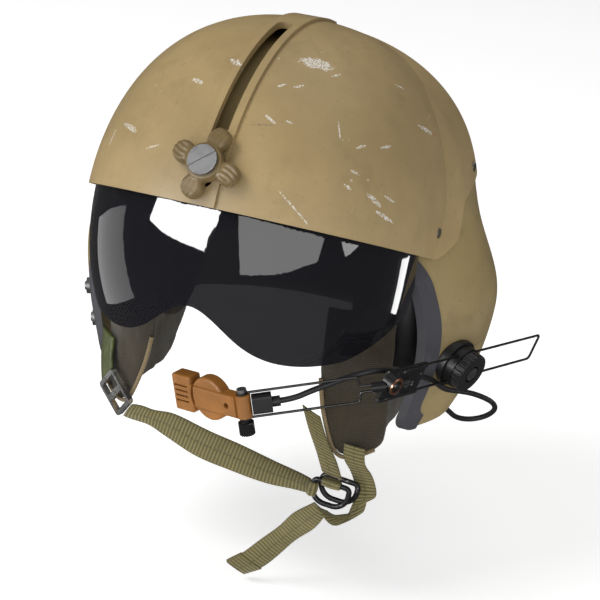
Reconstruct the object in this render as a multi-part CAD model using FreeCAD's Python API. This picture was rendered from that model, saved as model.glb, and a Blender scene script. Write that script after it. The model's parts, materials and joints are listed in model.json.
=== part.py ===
import FreeCAD, Part
import math
import os

# Pilot flight helmet, millimetres.
# Origin midway between the wearer's ear canals, -Y the way the face looks, +X the wearer's left, +Z up.
V = FreeCAD.Vector

# Visor axis: the lens turns about this line, which runs along X
AXIS_Y = 0.0
AXIS_Z = 20.0

# Shell
SHELL_HALF_WIDTH = 114.0
SHELL_FRONT_R = 124.0
SHELL_BACK = 112.0
SHELL_WALL = 3.0
WIDEST_Y = 32.0
SKIRT_NARROWING = 0.10
REAR_TUCK = 0.22
SKIRT_DEPTH = 110.0
EAR_BULGE = 30.0
EAR_BULGE_Y = 28.0
EAR_BULGE_Z = -20.0
VISOR_POCKET = 13.0
VISOR_POCKET_Y = -36.0
VISOR_POCKET_Z = 28.0
RAISED_POCKET = 6.0
RAISED_POCKET_Y = -16.0
RAISED_POCKET_Z = 85.0
RIM_Z = -90.0
REAR_RIM_Z = -68.0
OPENING_Y = -22.0
BROW_Z = 56.0

# Edge trim
TRIM_WIDTH = 9.0
TRIM_THICK = 1.3
TRIM_LIP = 1.5
TRIM_REAR_Y = -8.0

# Visor cover and lens, both turned about the visor axis
COVER_R = 134.3
COVER_HALF_WIDTH = 111.5
COVER_WALL = 2.5
SURFACE_P = 2.24
SURFACE_Q = 2.68
LENS_GAP = 1.9
LENS_WALL = 2.2
SEAT_GAP = 0.3
BROW_ANGLE = 19.4
RIB_WIDTH = 19.5
RIB_HEIGHT = 1.8
SLOT_WIDTH = 10.0
SLOT_LOW = 26.0
SLOT_HIGH = 81.5
LENS_LOW = -48.0
LENS_HIGH = 41.0
LENS_HUB_R = 30.0
GUIDE_R = 29.3
GUIDE_INNER_R = 12.0

# Visor lock
LOCK_ANGLE = 29.5
STUD_R = 3.0
RUNNING = 0.06
KNOB_HUB_R = 11.0
KNOB_HEIGHT = 9.0
KNOB_REACH = 22.5
LOBE_R = 6.8
KNOB_TURN = -15.0
DISC_R = 9.0
DISC_THICK = 2.2

# Cover screws: places on the side of the helmet
SCREW_HEAD_R = 3.0
SCREW_HEAD_THICK = 1.6
SCREW_SHANK_R = 2.0
SCREW_CLEARANCE = 0.2
LOWER_SCREW = (-8.0, 40.5)
UPPER_SCREW = (48.0, 71.0)

# Liner, pads and head harness
LINER_THICK = 12.0
LINER_SIDE_Z = 36.5
PAD_THICK = 8.0
BAND_HALF_WIDTH = 75.5
BAND_FRONT = 90.0
BAND_BACK = 100.0
BAND_THICK = 3.5
BAND_Z = 60.0
BAND_HEIGHT = 26.0
CLIP_WIDTH = 22.0

# Earcups
CUP_Y = 9.0
CUP_Z = -12.0
CUP_HALF_LENGTH = 34.0
CUP_HALF_HEIGHT = 46.0
CUP_WALL = 3.0
CUP_INNER_X = 79.0
CUP_OUTER_X = 109.0
SEAL_THICK = 14.0
SEAL_SPREAD = 2.0
SEAL_RING = 15.0
EARPHONE_R = 22.0
EARPHONE_THICK = 13.0
EAR_FOAM_THICK = 5.0

# Ear retention harness
HARNESS_X = 86.0
HARNESS_THICK = 3.0
HARNESS_FRONT_Y = -38.0
PANEL_FRONT_Y = -33.8
HARNESS_REAR_Y = 64.0
HARNESS_LOW_Z = -108.0
HARNESS_TOP_Z = 26.0
NAPE_PAD_THICK = 12.0

# Boom frame: origin on the shell, out is the swivel axis, back runs along the wire loop
SWIVEL_POINT = V(131.1, -0.8, -43.4)
SWIVEL_AXIS = V(0.9122, -0.3127, -0.2648)
BOOM_BACK = V(0.3016, 0.9498, -0.0827)
BASE_R = 16.0
BASE_TOP = 1.6
GUIDE_DISC_R = 14.0
GUIDE_DISC_THICK = 5.4
TENSION_R = 13.4
TENSION_THICK = 6.6
POST_R = 3.0
STACK_GAP = 0.3
WIRE_R = 0.8
WIRE_SPREAD = 9.5
WIRE_BEND = 2.6
LOOP_BACK = 88.0
PLATE_FRONT = -84.0
PLATE_BACK = -45.0
PLATE_THICK = 2.0
CHANNEL_R = 2.0
BALL_BACK = -84.0
BALL_UP = 6.0
BALL_R = 4.2
BALL_SEAT = 0.3
SOCKET_R = 5.6
PIN_WINDOW_R = 4.0
RING_THICK = 0.9

# Microphone
PIVOT_POINT = V(37.9, -122.0, -53.6)
FRONT_SPREAD = 8.1
COLLAR_R = 3.2
COLLAR_LENGTH = 8.0
PIVOT_R = 1.5
EYELET_R = 3.4
EYELET_THICK = 1.6
MIC_YAW = -46.5
BARREL_R = 4.8
MIC_BAND_LENGTH = 37.0
MIC_BAND_HEIGHT = 14.0
MIC_DISC_R = 14.0
MIC_DISC_AT = 26.5
MIC_DISC_THICK = 8.4
MIC_BLOCK_LENGTH = 16.0
MIC_BLOCK_HEIGHT = 24.0
MIC_BLOCK_THICK = 10.0
SOUND_SLOTS = 4
SOUND_PITCH = 3.4
THUMB_R = 4.8
THUMB_THICK = 8.0
BOOT_LENGTH = 12.0
LEAD_R = 1.8

# Chin strap
WEBBING_WIDTH = 19.0
WEBBING_THICK = 1.6
NARROW_WEBBING = 14.0
BUCKLE_LENGTH = 26.0
RING_WIRE_R = 1.75
RING_HALF_WIDTH = 12.0
RING_POINT = V(77.0, -50.0, -130.0)

# Comm cord gland, low at the back on the wearer's left
GLAND_POINT = V(77.9, 110.0, -52.0)
GLAND_AXIS = V(0.505, 0.834, -0.22)
GLAND_BORE_R = 3.25
GLAND_R = 6.5
GLAND_LENGTH = 14.0

# Directions of the section points from front to back of one side, closer where the side is flattened
SIDE_ANGLES = (-90, -75, -62, -52, -45, -39, -33, -27, -21, -15, -9, -3, 4, 12, 21, 31, 42, 54, 66, 78, 90)
DOME_ANGLES = (0, 6, 12, 18, 24, 30, 37, 45, 53, 61, 69, 76, 82, 86)
SIDES = (("left", 1.0), ("right", -1.0))


def save(name, shape):
    shape.exportStep("parts/" + name + ".step")
    print(name, "solids", len(shape.Solids), "volume", round(shape.Volume), "valid", shape.isValid())


# Shell surface: horizontal sections from one formula

def rise(z, inset):
    return min(max((z - AXIS_Z) / (SHELL_FRONT_R - inset), 0.0), 1.0)


def droop(z):
    return max((AXIS_Z - z) / SKIRT_DEPTH, 0.0)


def half_width(z, inset):
    dome = (1 - rise(z, inset) ** 2.9) ** (1 / 2.1)
    return (SHELL_HALF_WIDTH - inset) * dome * (1 - SKIRT_NARROWING * droop(z) ** 1.5)


def front_reach(z, inset):
    return WIDEST_Y + (SHELL_FRONT_R - inset) * math.sqrt(1 - rise(z, inset) ** 2)


def back_reach(z, inset):
    dome = math.sqrt(1 - rise(z, inset) ** 2.3)
    return (SHELL_BACK - inset) * dome * (1 - REAR_TUCK * droop(z) ** 1.5)


def swelling(y, z):
    """How far the side stands out over the ear, less the flats that the lens passes over, down and up."""
    span_y = 54.0 if y < EAR_BULGE_Y else 66.0
    span_z = 92.0 if z < EAR_BULGE_Z else 50.0
    ear = math.hypot((y - EAR_BULGE_Y) / span_y, (z - EAR_BULGE_Z) / span_z)
    flat = math.hypot((y - VISOR_POCKET_Y) / 36.0, (z - VISOR_POCKET_Z) / 50.0)
    raised = ((y - RAISED_POCKET_Y) / 26.0) ** 4 + ((z - RAISED_POCKET_Z) / 45.0) ** 4
    pockets = VISOR_POCKET * math.exp(-flat ** 2.4) + RAISED_POCKET * math.exp(-raised)
    return EAR_BULGE * math.exp(-0.9 * ear ** 2.6) - pockets


def plan_radius(angle, width, length):
    """Radius of the plan outline |x/width|^2.1 + |y/length|^2.4 = 1 in one direction."""
    low, high = 0.0, width + length
    across = abs(math.cos(angle)) / width
    along = abs(math.sin(angle)) / length
    for _ in range(50):
        middle = (low + high) / 2
        if (middle * across) ** 2.1 + (middle * along) ** 2.4 < 1:
            low = middle
        else:
            high = middle
    return low


def shell_section(z, inset):
    width = half_width(z, inset)
    angles = list(SIDE_ANGLES) + [180 - angle for angle in SIDE_ANGLES[-2:0:-1]]
    points = []
    for degrees in angles:
        angle = math.radians(degrees)
        length = back_reach(z, inset) if math.sin(angle) > 0 else front_reach(z, inset)
        radius = plan_radius(angle, width, length)
        x = radius * math.cos(angle)
        y = WIDEST_Y + radius * math.sin(angle)
        out = (1 - math.exp(-(x / (0.45 * width)) ** 2)) * swelling(y, z)
        points.append(V(x + (out if x > 0 else -out), y, z))
    curve = Part.BSplineCurve()
    spacing = [float(degrees + 90) for degrees in angles] + [360.0]
    curve.interpolate(Points=points, Parameters=spacing, PeriodicFlag=True)
    return Part.Wire([curve.toShape()])


def shell_solid(inset):
    """The shell's outer form, moved in by inset."""
    lowest = AXIS_Z - SKIRT_DEPTH - 14.0
    heights = [lowest + (AXIS_Z - lowest) * step / 8 for step in range(8)]
    for angle in DOME_ANGLES:
        heights.append(AXIS_Z + (SHELL_FRONT_R - inset) * math.sin(math.radians(angle)))
    return Part.makeLoft([shell_section(z, inset) for z in heights], True, False)


def shell_x(y, z, inset):
    """Half width of the shell at one place on its side."""
    length = back_reach(z, inset) if y > WIDEST_Y else front_reach(z, inset)
    along = abs(y - WIDEST_Y) / length
    return half_width(z, inset) * (1 - along ** 2.4) ** (1 / 2.1) + swelling(y, z)


# Outlines drawn in the side view

def corner_arc(before, corner, after, radius):
    """Start, middle and end of the arc that rounds one corner."""
    back = (before - corner).normalize()
    ahead = (after - corner).normalize()
    half = back.getAngle(ahead) / 2
    bisector = (back + ahead).normalize()
    reach = radius / math.tan(half)
    middle = corner + bisector * (radius / math.sin(half) - radius)
    return corner + back * reach, middle, corner + ahead * reach


def rounded_wire(points, radii, closed=True):
    """Straight runs joined by arcs; a radius of 0 leaves a corner sharp."""
    count = len(points)
    edges = []
    last = None if closed else points[0]
    first = None
    for index in range(count):
        sharp = radii[index] == 0 or (not closed and index in (0, count - 1))
        corner = points[index]
        if sharp:
            start, middle, end = corner, None, corner
        else:
            after = points[(index + 1) % count]
            start, middle, end = corner_arc(points[index - 1], corner, after, radii[index])
        if last is not None and last.distanceToPoint(start) > 1e-6:
            edges.append(Part.LineSegment(last, start).toShape())
        if middle is not None:
            edges.append(Part.Arc(start, middle, end).toShape())
        if first is None:
            first = start
        last = end
    if closed and last.distanceToPoint(first) > 1e-6:
        edges.append(Part.LineSegment(last, first).toShape())
    return Part.Wire(edges)


def side_prism(outline, radii, x_low=-200.0, x_high=200.0):
    points = [V(x_low, y, z) for y, z in outline]
    return Part.Face(rounded_wire(points, radii)).extrude(V(x_high - x_low, 0, 0))


def moved_outline(outline, amount):
    """The same outline with each edge moved to its right by amount."""
    count = len(outline)
    lines = []
    for index in range(count):
        y0, z0 = outline[index]
        y1, z1 = outline[(index + 1) % count]
        length = math.hypot(y1 - y0, z1 - z0)
        ny, nz = (z1 - z0) / length, -(y1 - y0) / length
        lines.append((ny, nz, ny * y0 + nz * z0 + amount))
    result = []
    for index in range(count):
        a1, b1, c1 = lines[index - 1]
        a2, b2, c2 = lines[index]
        det = a1 * b2 - a2 * b1
        result.append(((c1 * b2 - c2 * b1) / det, (a1 * c2 - a2 * c1) / det))
    return result


# Shell outline in the side view: face opening in front, rim below
KEEP = [(-170.0, 210.0), (-170.0, BROW_Z), (-70.0, BROW_Z), (OPENING_Y - 2, AXIS_Z - 2), (OPENING_Y, RIM_Z),
        (40.0, RIM_Z), (88.0, REAR_RIM_Z), (190.0, REAR_RIM_Z + 4), (190.0, 210.0)]
KEEP_RADII = [0, 0, 60, 30, 13, 60, 60, 0, 0]


def frame_placement(origin, x_dir, z_dir):
    """Places a shape drawn in a local frame with the given Z, and X as near x_dir as that allows."""
    z_axis = V(z_dir).normalize()
    x_axis = (V(x_dir) - z_axis * z_axis.dot(x_dir)).normalize()
    y_axis = z_axis.cross(x_axis)
    matrix = FreeCAD.Matrix(x_axis.x, y_axis.x, z_axis.x, origin.x,
                            x_axis.y, y_axis.y, z_axis.y, origin.y,
                            x_axis.z, y_axis.z, z_axis.z, origin.z,
                            0, 0, 0, 1)
    return FreeCAD.Placement(matrix)


def placed(shape, placement):
    result = shape.copy()
    result.Placement = placement.multiply(result.Placement)
    return result


def cylinder(radius, low, high, centre=V(0, 0, 0), axis=V(0, 0, 1)):
    base = centre + V(axis).normalize() * low
    return Part.makeCylinder(radius, high - low, base, axis)


def box(x0, x1, y0, y1, z0, z1):
    return Part.makeBox(x1 - x0, y1 - y0, z1 - z0, V(x0, y0, z0))


def mirrored(shape):
    return shape.mirror(V(0, 0, 0), V(1, 0, 0))


def both_sides(shape, side):
    return shape if side > 0 else mirrored(shape)


# Surfaces turned about the visor axis

def turned_x(radius, big_r, width):
    return width * (1 - (radius / big_r) ** SURFACE_Q) ** (1 / SURFACE_P)


def turned_curve(big_r, width, inner_r, count=31):
    """Profile from right to left in the plane ahead of the axis, ending at inner_r."""
    limit = math.acos((inner_r / big_r) ** (SURFACE_Q / 2))
    points = []
    for step in range(count):
        angle = -limit + 2 * limit * step / (count - 1)
        radius = big_r * math.cos(angle) ** (2 / SURFACE_Q)
        if step in (0, count - 1):
            radius = inner_r
        x = math.copysign(turned_x(radius, big_r, width), angle) if abs(angle) > 1e-9 else 0.0
        points.append(V(x, AXIS_Y - radius, AXIS_Z))
    curve = Part.BSplineCurve()
    curve.interpolate(points)
    return curve.toShape(), points[0], points[-1]


def turned_solid(inset, inner_r=0.5):
    """The filled bubble, its surface moved in by inset from the cover's outside."""
    curve, right, left = turned_curve(COVER_R - inset, COVER_HALF_WIDTH - inset, inner_r)
    right_axis = V(right.x, AXIS_Y, AXIS_Z)
    left_axis = V(left.x, AXIS_Y, AXIS_Z)
    edges = [curve, Part.makeLine(left, left_axis), Part.makeLine(left_axis, right_axis),
             Part.makeLine(right_axis, right)]
    return Part.Face(Part.Wire(edges)).revolve(V(0, AXIS_Y, AXIS_Z), V(-1, 0, 0), 360)


def turned_wall(inset, wall, inner_r, low, high):
    """A wall of the bubble between two angles above the horizontal."""
    outer, right, left = turned_curve(COVER_R - inset, COVER_HALF_WIDTH - inset, inner_r)
    inner, right_in, left_in = turned_curve(COVER_R - inset - wall, COVER_HALF_WIDTH - inset - wall, inner_r)
    face = Part.Face(Part.Wire([outer, Part.makeLine(left, left_in), inner, Part.makeLine(right_in, right)]))
    face.rotate(V(0, AXIS_Y, AXIS_Z), V(-1, 0, 0), low)
    return face.revolve(V(0, AXIS_Y, AXIS_Z), V(-1, 0, 0), high - low)


def turned_bar(half, inner_r, outer_r, low, high):
    """A bar of rectangular section round the visor axis."""
    corners = [V(x, AXIS_Y - r, AXIS_Z) for x, r in
               ((-half, inner_r), (half, inner_r), (half, outer_r), (-half, outer_r))]
    face = Part.Face(Part.makePolygon(corners + corners[:1]))
    face.rotate(V(0, AXIS_Y, AXIS_Z), V(-1, 0, 0), low)
    return face.revolve(V(0, AXIS_Y, AXIS_Z), V(-1, 0, 0), high - low)


def radial(angle):
    return V(0, -math.cos(math.radians(angle)), math.sin(math.radians(angle)))


def radial_frame(angle, radius):
    return frame_placement(V(0, AXIS_Y, AXIS_Z) + radial(angle) * radius, V(1, 0, 0), radial(angle))


LENS_INSET = COVER_WALL + LENS_GAP
LENS_R = COVER_R - LENS_INSET
RIB_TOP = COVER_R + RIB_HEIGHT


def screw_surface(y, z):
    """Outside of the cover at a screw: the bubble or the flange, whichever stands further out."""
    radius = math.hypot(y - AXIS_Y, z - AXIS_Z)
    bubble = turned_x(radius, COVER_R, COVER_HALF_WIDTH) if radius < COVER_R else 0.0
    return max(bubble, shell_x(y, z, -SEAT_GAP - COVER_WALL))


def slotted_head(radius, thick, slot_width=0.9, slot_depth=0.7):
    head = cylinder(radius, 0, thick)
    return head.cut(box(-radius, radius, -slot_width / 2, slot_width / 2, thick - slot_depth, thick + 1))


def cross_head(radius, thick):
    head = cylinder(radius, 0, thick)
    for a, b in ((0.55, 0.16), (0.16, 0.55)):
        head = head.cut(box(-radius * a, radius * a, -radius * b, radius * b, thick - 0.8, thick + 1))
    return head


def build_shell(outer, inner):
    keep = side_prism(KEEP, KEEP_RADII)
    shell = outer.cut(inner).common(keep)
    for y, z in (LOWER_SCREW, UPPER_SCREW):
        shell = shell.cut(cylinder(SCREW_SHANK_R + SCREW_CLEARANCE, -150, 150, V(0, y, z), V(1, 0, 0)))
    return shell.cut(gland_frame_solid(cylinder(GLAND_BORE_R + 1.3, -30, 30)))


def build_trim(shell):
    wide = shell_solid(-TRIM_THICK)
    narrow = shell_solid(SHELL_WALL + TRIM_THICK)
    band = side_prism(moved_outline(KEEP, TRIM_LIP), KEEP_RADII)
    band = band.cut(side_prism(moved_outline(KEEP, TRIM_LIP - TRIM_WIDTH), KEEP_RADII))
    band = band.common(box(-200, 200, -200, TRIM_REAR_Y, RIM_Z - 10, 200))
    return wide.cut(narrow).common(band).cut(shell)


def build_cover(outer, flange_out, flange_in):
    outline = [(-200.0, AXIS_Z + 200 * math.tan(math.radians(BROW_ANGLE))),
               (-12.0, AXIS_Z + 12 * math.tan(math.radians(BROW_ANGLE))),
               (6.0, 34.0), (22.0, 56.0), (58.0, 65.0), (44.0, 170.0), (44.0, 230.0), (-200.0, 230.0)]
    region = side_prism(outline, [0, 8, 12, 12, 4, 0, 0, 0])
    rib = turned_bar(RIB_WIDTH / 2, COVER_R - 3, RIB_TOP, BROW_ANGLE - 3, 125)
    cover = outer.fuse([flange_out, rib])
    cover = cover.cut([turned_solid(COVER_WALL), flange_in]).common(region)
    slot = turned_bar(SLOT_WIDTH / 2, COVER_R - 15, COVER_R + 10, SLOT_LOW, SLOT_HIGH)
    ends = [cylinder(SLOT_WIDTH / 2, COVER_R - 15, COVER_R + 10, V(0, AXIS_Y, AXIS_Z), radial(a))
            for a in (SLOT_LOW, SLOT_HIGH)]
    cover = cover.cut([slot] + ends)
    for y, z in (LOWER_SCREW, UPPER_SCREW):
        surface = screw_surface(y, z)
        cover = cover.cut(cylinder(SCREW_SHANK_R + SCREW_CLEARANCE, -150, 150, V(0, y, z), V(1, 0, 0)))
        for side in (1.0, -1.0):
            recess_r = SCREW_HEAD_R + SCREW_CLEARANCE
            cover = cover.cut(cylinder(recess_r, surface - 0.9, surface + 12, V(0, y, z), V(side, 0, 0)))
    return cover


def build_cover_screws():
    screws = []
    for y, z in (LOWER_SCREW, UPPER_SCREW):
        floor = screw_surface(y, z) - 0.9
        shank_end = shell_x(y, z, SHELL_WALL) + 1.2
        for side in (1.0, -1.0):
            head = placed(slotted_head(SCREW_HEAD_R, SCREW_HEAD_THICK),
                          frame_placement(V(side * (floor + 0.05), y, z), V(0, 0.6, 0.8), V(side, 0, 0)))
            shank = cylinder(SCREW_SHANK_R, shank_end, floor + 0.5, V(0, y, z), V(side, 0, 0))
            screws.append(head.fuse(shank))
    return Part.makeCompound(screws)


def build_visor_guide(flange_in, side):
    """The block between shell and cover that the lens edge slides round."""
    guide = cylinder(GUIDE_R, 95, 125, V(0, AXIS_Y, AXIS_Z), V(1, 0, 0))
    guide = guide.cut(cylinder(GUIDE_INNER_R, 90, 130, V(0, AXIS_Y, AXIS_Z), V(1, 0, 0)))
    reach = 2 * GUIDE_R
    wedge = [(AXIS_Y, AXIS_Z)]
    for angle in (26, 62, 98):
        way = radial(angle)
        wedge.append((AXIS_Y + reach * way.y, AXIS_Z + reach * way.z))
    guide = guide.common(side_prism(wedge, [0, 0, 0, 0], 90, 130))
    guide = guide.common(turned_solid(COVER_WALL + SEAT_GAP)).cut(flange_in)
    y, z = LOWER_SCREW
    guide = guide.cut(cylinder(SCREW_SHANK_R + SCREW_CLEARANCE, 80, 150, V(0, y, z), V(1, 0, 0)))
    return both_sides(guide, side)


def build_lens():
    lens = turned_wall(LENS_INSET, LENS_WALL, LENS_HUB_R, LENS_LOW, LENS_HIGH)
    outline = [(-190.0, 190.0), (-112.0, 112.0), (-95.0, 84.0), (-60.0, 53.0), (-24.0, 28.0), (-34.0, -6.0),
               (-60.0, -18.0), (-100.0, -36.0), (-190.0, -64.0)]
    lens = lens.common(side_prism(outline, [0, 20, 20, 60, 3, 8, 30, 0, 0]))
    # the nose notch, drawn square to a line 15 degrees below the horizontal
    half_notch = [(104.0, -30.0), (80.0, -24.5), (62.0, -21.0), (46.0, -15.5), (30.0, -4.5), (14.0, 10.5)]
    notch = [(x, w) for x, w in half_notch] + [(0.0, 16.7)] + [(-x, w) for x, w in reversed(half_notch)]
    look = radial(-15.0)
    up = V(1, 0, 0).cross(look) * -1
    centre = V(0, AXIS_Y, AXIS_Z) + look * 40
    points = [centre + V(x, 0, 0) + up * w for x, w in notch]
    curve = Part.BSplineCurve()
    curve.interpolate(points)
    low_left = points[-1] - up * 70
    low_right = points[0] - up * 70
    edges = [curve.toShape(), Part.makeLine(points[-1], low_left), Part.makeLine(low_left, low_right),
             Part.makeLine(low_right, points[0])]
    lens = lens.cut(Part.Face(Part.Wire(edges)).extrude(look * 130))
    hole = cylinder(STUD_R + RUNNING, 100, 160, V(0, AXIS_Y, AXIS_Z), radial(LOCK_ANGLE))
    return lens.cut(hole)


KNOB_BASE = RIB_TOP + 0.4
KNOB_TOP = KNOB_BASE + KNOB_HEIGHT


def build_lock_stud():
    lens_inner = LENS_R - LENS_WALL
    centre = V(0, AXIS_Y, AXIS_Z)
    stud = cylinder(STUD_R, lens_inner - 1.2, KNOB_TOP - 1.6, centre, radial(LOCK_ANGLE))
    foot = cylinder(7.0, lens_inner - 1.7, lens_inner - 0.2, centre, radial(LOCK_ANGLE))
    return stud.fuse(foot)


def build_slot_slider():
    centre = V(0, AXIS_Y, AXIS_Z)
    collar = cylinder(SLOT_WIDTH / 2 - 0.3, LENS_R + 0.1, KNOB_BASE - 0.2, centre, radial(LOCK_ANGLE))
    return collar.cut(cylinder(STUD_R + RUNNING, 100, 160, centre, radial(LOCK_ANGLE)))


def build_knob():
    hub = cylinder(KNOB_HUB_R, 0, KNOB_HEIGHT)
    parts = []
    reach = KNOB_REACH - LOBE_R
    for step in range(4):
        angle = KNOB_TURN + 90 * step
        lobe = Part.makeCylinder(LOBE_R, KNOB_HEIGHT - 1, V(reach, 0, 0))
        lobe = lobe.makeFillet(2.6, [edge for edge in lobe.Edges if edge.Curve.TypeId == "Part::GeomCircle"
                                     and edge.CenterOfMass.z > 1])
        web = box(0, reach, -LOBE_R * 0.75, LOBE_R * 0.75, 0, KNOB_HEIGHT - 2)
        lobe = lobe.fuse(web)
        for across in (-3.2, 0.0, 3.2):
            groove = cylinder(0.8, reach - 1, reach + 12, V(0, across, KNOB_HEIGHT - 0.9), V(1, 0, -0.25))
            lobe = lobe.cut(groove)
        lobe.rotate(V(0, 0, 0), V(0, 0, 1), angle)
        parts.append(lobe)
    knob = hub.fuse(parts)
    knob = knob.cut(cylinder(STUD_R + RUNNING, -1, KNOB_HEIGHT + 1))
    knob = knob.cut(cylinder(5.2, KNOB_HEIGHT - 1.2, KNOB_HEIGHT + 1))
    return placed(knob, radial_frame(LOCK_ANGLE, KNOB_BASE))


def build_knob_disc():
    disc = slotted_head(DISC_R, DISC_THICK, 1.8, 1.1)
    disc = disc.fuse(cylinder(5.0, -1.0, 0.2))
    disc.rotate(V(0, 0, 0), V(0, 0, 1), 40)
    return placed(disc, radial_frame(LOCK_ANGLE, KNOB_TOP + 0.05))


# Liner and pads, all drawn as layers of the shell's own form

def build_liner(seat, inner):
    outline = [(-150.0, 190.0), (-150.0, BROW_Z + 10), (-60.0, BROW_Z + 10), (-26.0, LINER_SIDE_Z),
               (52.0, LINER_SIDE_Z), (84.0, -26.0), (190.0, -26.0), (190.0, 190.0)]
    region = side_prism(outline, [0, 0, 20, 20, 20, 20, 0, 0])
    return seat.cut(inner).common(region)


def build_crown_pad(under_liner):
    low = shell_solid(SHELL_WALL + SEAT_GAP + LINER_THICK + SEAT_GAP + PAD_THICK)
    plan = rounded_wire([V(-44, -50, 90), V(44, -50, 90), V(44, 62, 90), V(-44, 62, 90)], [22, 22, 22, 22])
    region = Part.Face(plan).extrude(V(0, 0, 80))
    return under_liner.cut(low).common(region)


def build_nape_pad(seat):
    inner = shell_solid(SHELL_WALL + SEAT_GAP + NAPE_PAD_THICK)
    region = box(-46, 46, 70, 160, REAR_RIM_Z + 6, -30)
    return seat.cut(inner).common(region)


def band_ring(half_w, front, back):
    """Closed oval seen from above, in four arcs of an ellipse's quarters."""
    edges = []
    for x_sign, reach in ((1, -front), (1, back), (-1, back), (-1, -front)):
        a = V(0, reach, 0)
        b = V(x_sign * half_w, 0, 0)
        middle = V(x_sign * half_w * math.sqrt(0.5), reach * math.sqrt(0.5), 0)
        edges.append(Part.Arc(a, middle, b).toShape())
    return Part.Wire(Part.__sortEdges__(edges))


def build_headband():
    outer = Part.Face(band_ring(BAND_HALF_WIDTH, BAND_FRONT, BAND_BACK))
    thin = BAND_THICK
    inner = Part.Face(band_ring(BAND_HALF_WIDTH - thin, BAND_FRONT - thin, BAND_BACK - thin))
    outer.translate(V(0, 0, BAND_Z - BAND_HEIGHT / 2))
    inner.translate(V(0, 0, BAND_Z - BAND_HEIGHT / 2))
    return outer.cut(inner).extrude(V(0, 0, BAND_HEIGHT))


def build_harness_clips(under_liner):
    """Blocks that hold the headband off the liner, six round the head."""
    filled = Part.Face(band_ring(BAND_HALF_WIDTH + 0.2, BAND_FRONT + 0.2, BAND_BACK + 0.2))
    filled.translate(V(0, 0, BAND_Z - BAND_HEIGHT))
    filled = filled.extrude(V(0, 0, 2 * BAND_HEIGHT))
    clips = []
    for angle in (60, 0, -58, -122, 180, 120):
        block = box(20, 140, -CLIP_WIDTH / 2, CLIP_WIDTH / 2, BAND_Z - 8, BAND_Z + 10)
        block.rotate(V(0, 0, 0), V(0, 0, 1), angle)
        clips.append(block.common(under_liner).cut(filled))
    return Part.makeCompound(clips)


def build_crown_straps(pad_low):
    """Three webbing straps from the headband over the head, under the crown pad."""
    outer = pad_low
    inner = shell_solid(SHELL_WALL + 3 * SEAT_GAP + LINER_THICK + PAD_THICK + WEBBING_THICK)
    skin = outer.cut(inner)
    straps = None
    for angle in (0, 60, -60):
        slab = box(-150, 150, -WEBBING_WIDTH / 2, WEBBING_WIDTH / 2, BAND_Z + BAND_HEIGHT / 2 + 0.1, 170)
        slab.rotate(V(0, 0, 0), V(0, 0, 1), angle)
        slab.translate(V(0, 6, 0))
        strap = skin.common(slab)
        straps = strap if straps is None else straps.fuse(strap)
    return straps


# Earcups

def ellipse_face(half_y, half_z, x, grow=0.0):
    centre = V(x, CUP_Y, CUP_Z)
    ellipse = Part.Ellipse(centre + V(0, 0, half_z + grow), centre + V(0, half_y + grow, 0), centre)
    return Part.Face(Part.Wire([ellipse.toShape()]))


def ellipse_bar(x0, x1, grow):
    return ellipse_face(CUP_HALF_LENGTH, CUP_HALF_HEIGHT, x0, grow).extrude(V(x1 - x0, 0, 0))


def edges_at_x(shape, x):
    return [edge for edge in shape.Edges if abs(edge.CenterOfMass.x - x) < 0.01 and edge.isClosed()]


def build_earcup(side):
    cup = ellipse_bar(CUP_INNER_X, CUP_OUTER_X, 0)
    cup = cup.makeFillet(11, edges_at_x(cup, CUP_OUTER_X))
    hollow = ellipse_bar(CUP_INNER_X - 1, CUP_OUTER_X - CUP_WALL, -CUP_WALL)
    hollow = hollow.makeFillet(8, edges_at_x(hollow, CUP_OUTER_X - CUP_WALL))
    return both_sides(cup.cut(hollow), side)


def build_ear_seal(side):
    low = CUP_INNER_X - SEAT_GAP - SEAL_THICK
    high = CUP_INNER_X - SEAT_GAP
    ring = ellipse_bar(low, high, SEAL_SPREAD).cut(ellipse_bar(low - 1, high + 1, SEAL_SPREAD - SEAL_RING))
    ring = ring.makeFillet(5.5, edges_at_x(ring, low))
    return both_sides(ring, side)


def build_earphone(side):
    floor = CUP_OUTER_X - CUP_WALL - SEAT_GAP
    centre = V(0, CUP_Y, CUP_Z)
    body = cylinder(EARPHONE_R, floor - EARPHONE_THICK, floor, centre, V(1, 0, 0))
    step = cylinder(EARPHONE_R - 5, floor - EARPHONE_THICK - 1.5, floor - EARPHONE_THICK, centre, V(1, 0, 0))
    return both_sides(body.fuse(step), side)


def build_ear_foam(side):
    back = CUP_OUTER_X - CUP_WALL - EARPHONE_THICK - 1.5 - 2 * SEAT_GAP
    foam = ellipse_bar(back - EAR_FOAM_THICK, back, -CUP_WALL - SEAT_GAP)
    return both_sides(foam, side)


def build_cup_spacer(seat, side):
    """Foam block between the back of the earcup and the shell."""
    block = box(CUP_OUTER_X + SEAT_GAP, 160, CUP_Y - 16, CUP_Y + 22, CUP_Z - 26, CUP_Z + 22)
    return both_sides(block.common(seat), side)


# Ear harness: a cloth panel round each earcup and the flap ahead of it

def build_harness_panel(side):
    outline = [(PANEL_FRONT_Y, HARNESS_TOP_Z - 8), (PANEL_FRONT_Y, HARNESS_LOW_Z), (40.0, HARNESS_LOW_Z + 4),
               (HARNESS_REAR_Y, -70.0), (HARNESS_REAR_Y, -6.0), (20.0, HARNESS_TOP_Z + 12)]
    x0 = HARNESS_X - HARNESS_THICK / 2
    panel = side_prism(outline, [10, 24, 26, 20, 26, 24], x0, x0 + HARNESS_THICK)
    panel = panel.cut(ellipse_bar(x0 - 1, x0 + HARNESS_THICK + 1, SEAT_GAP))
    return both_sides(panel, side)


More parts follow.
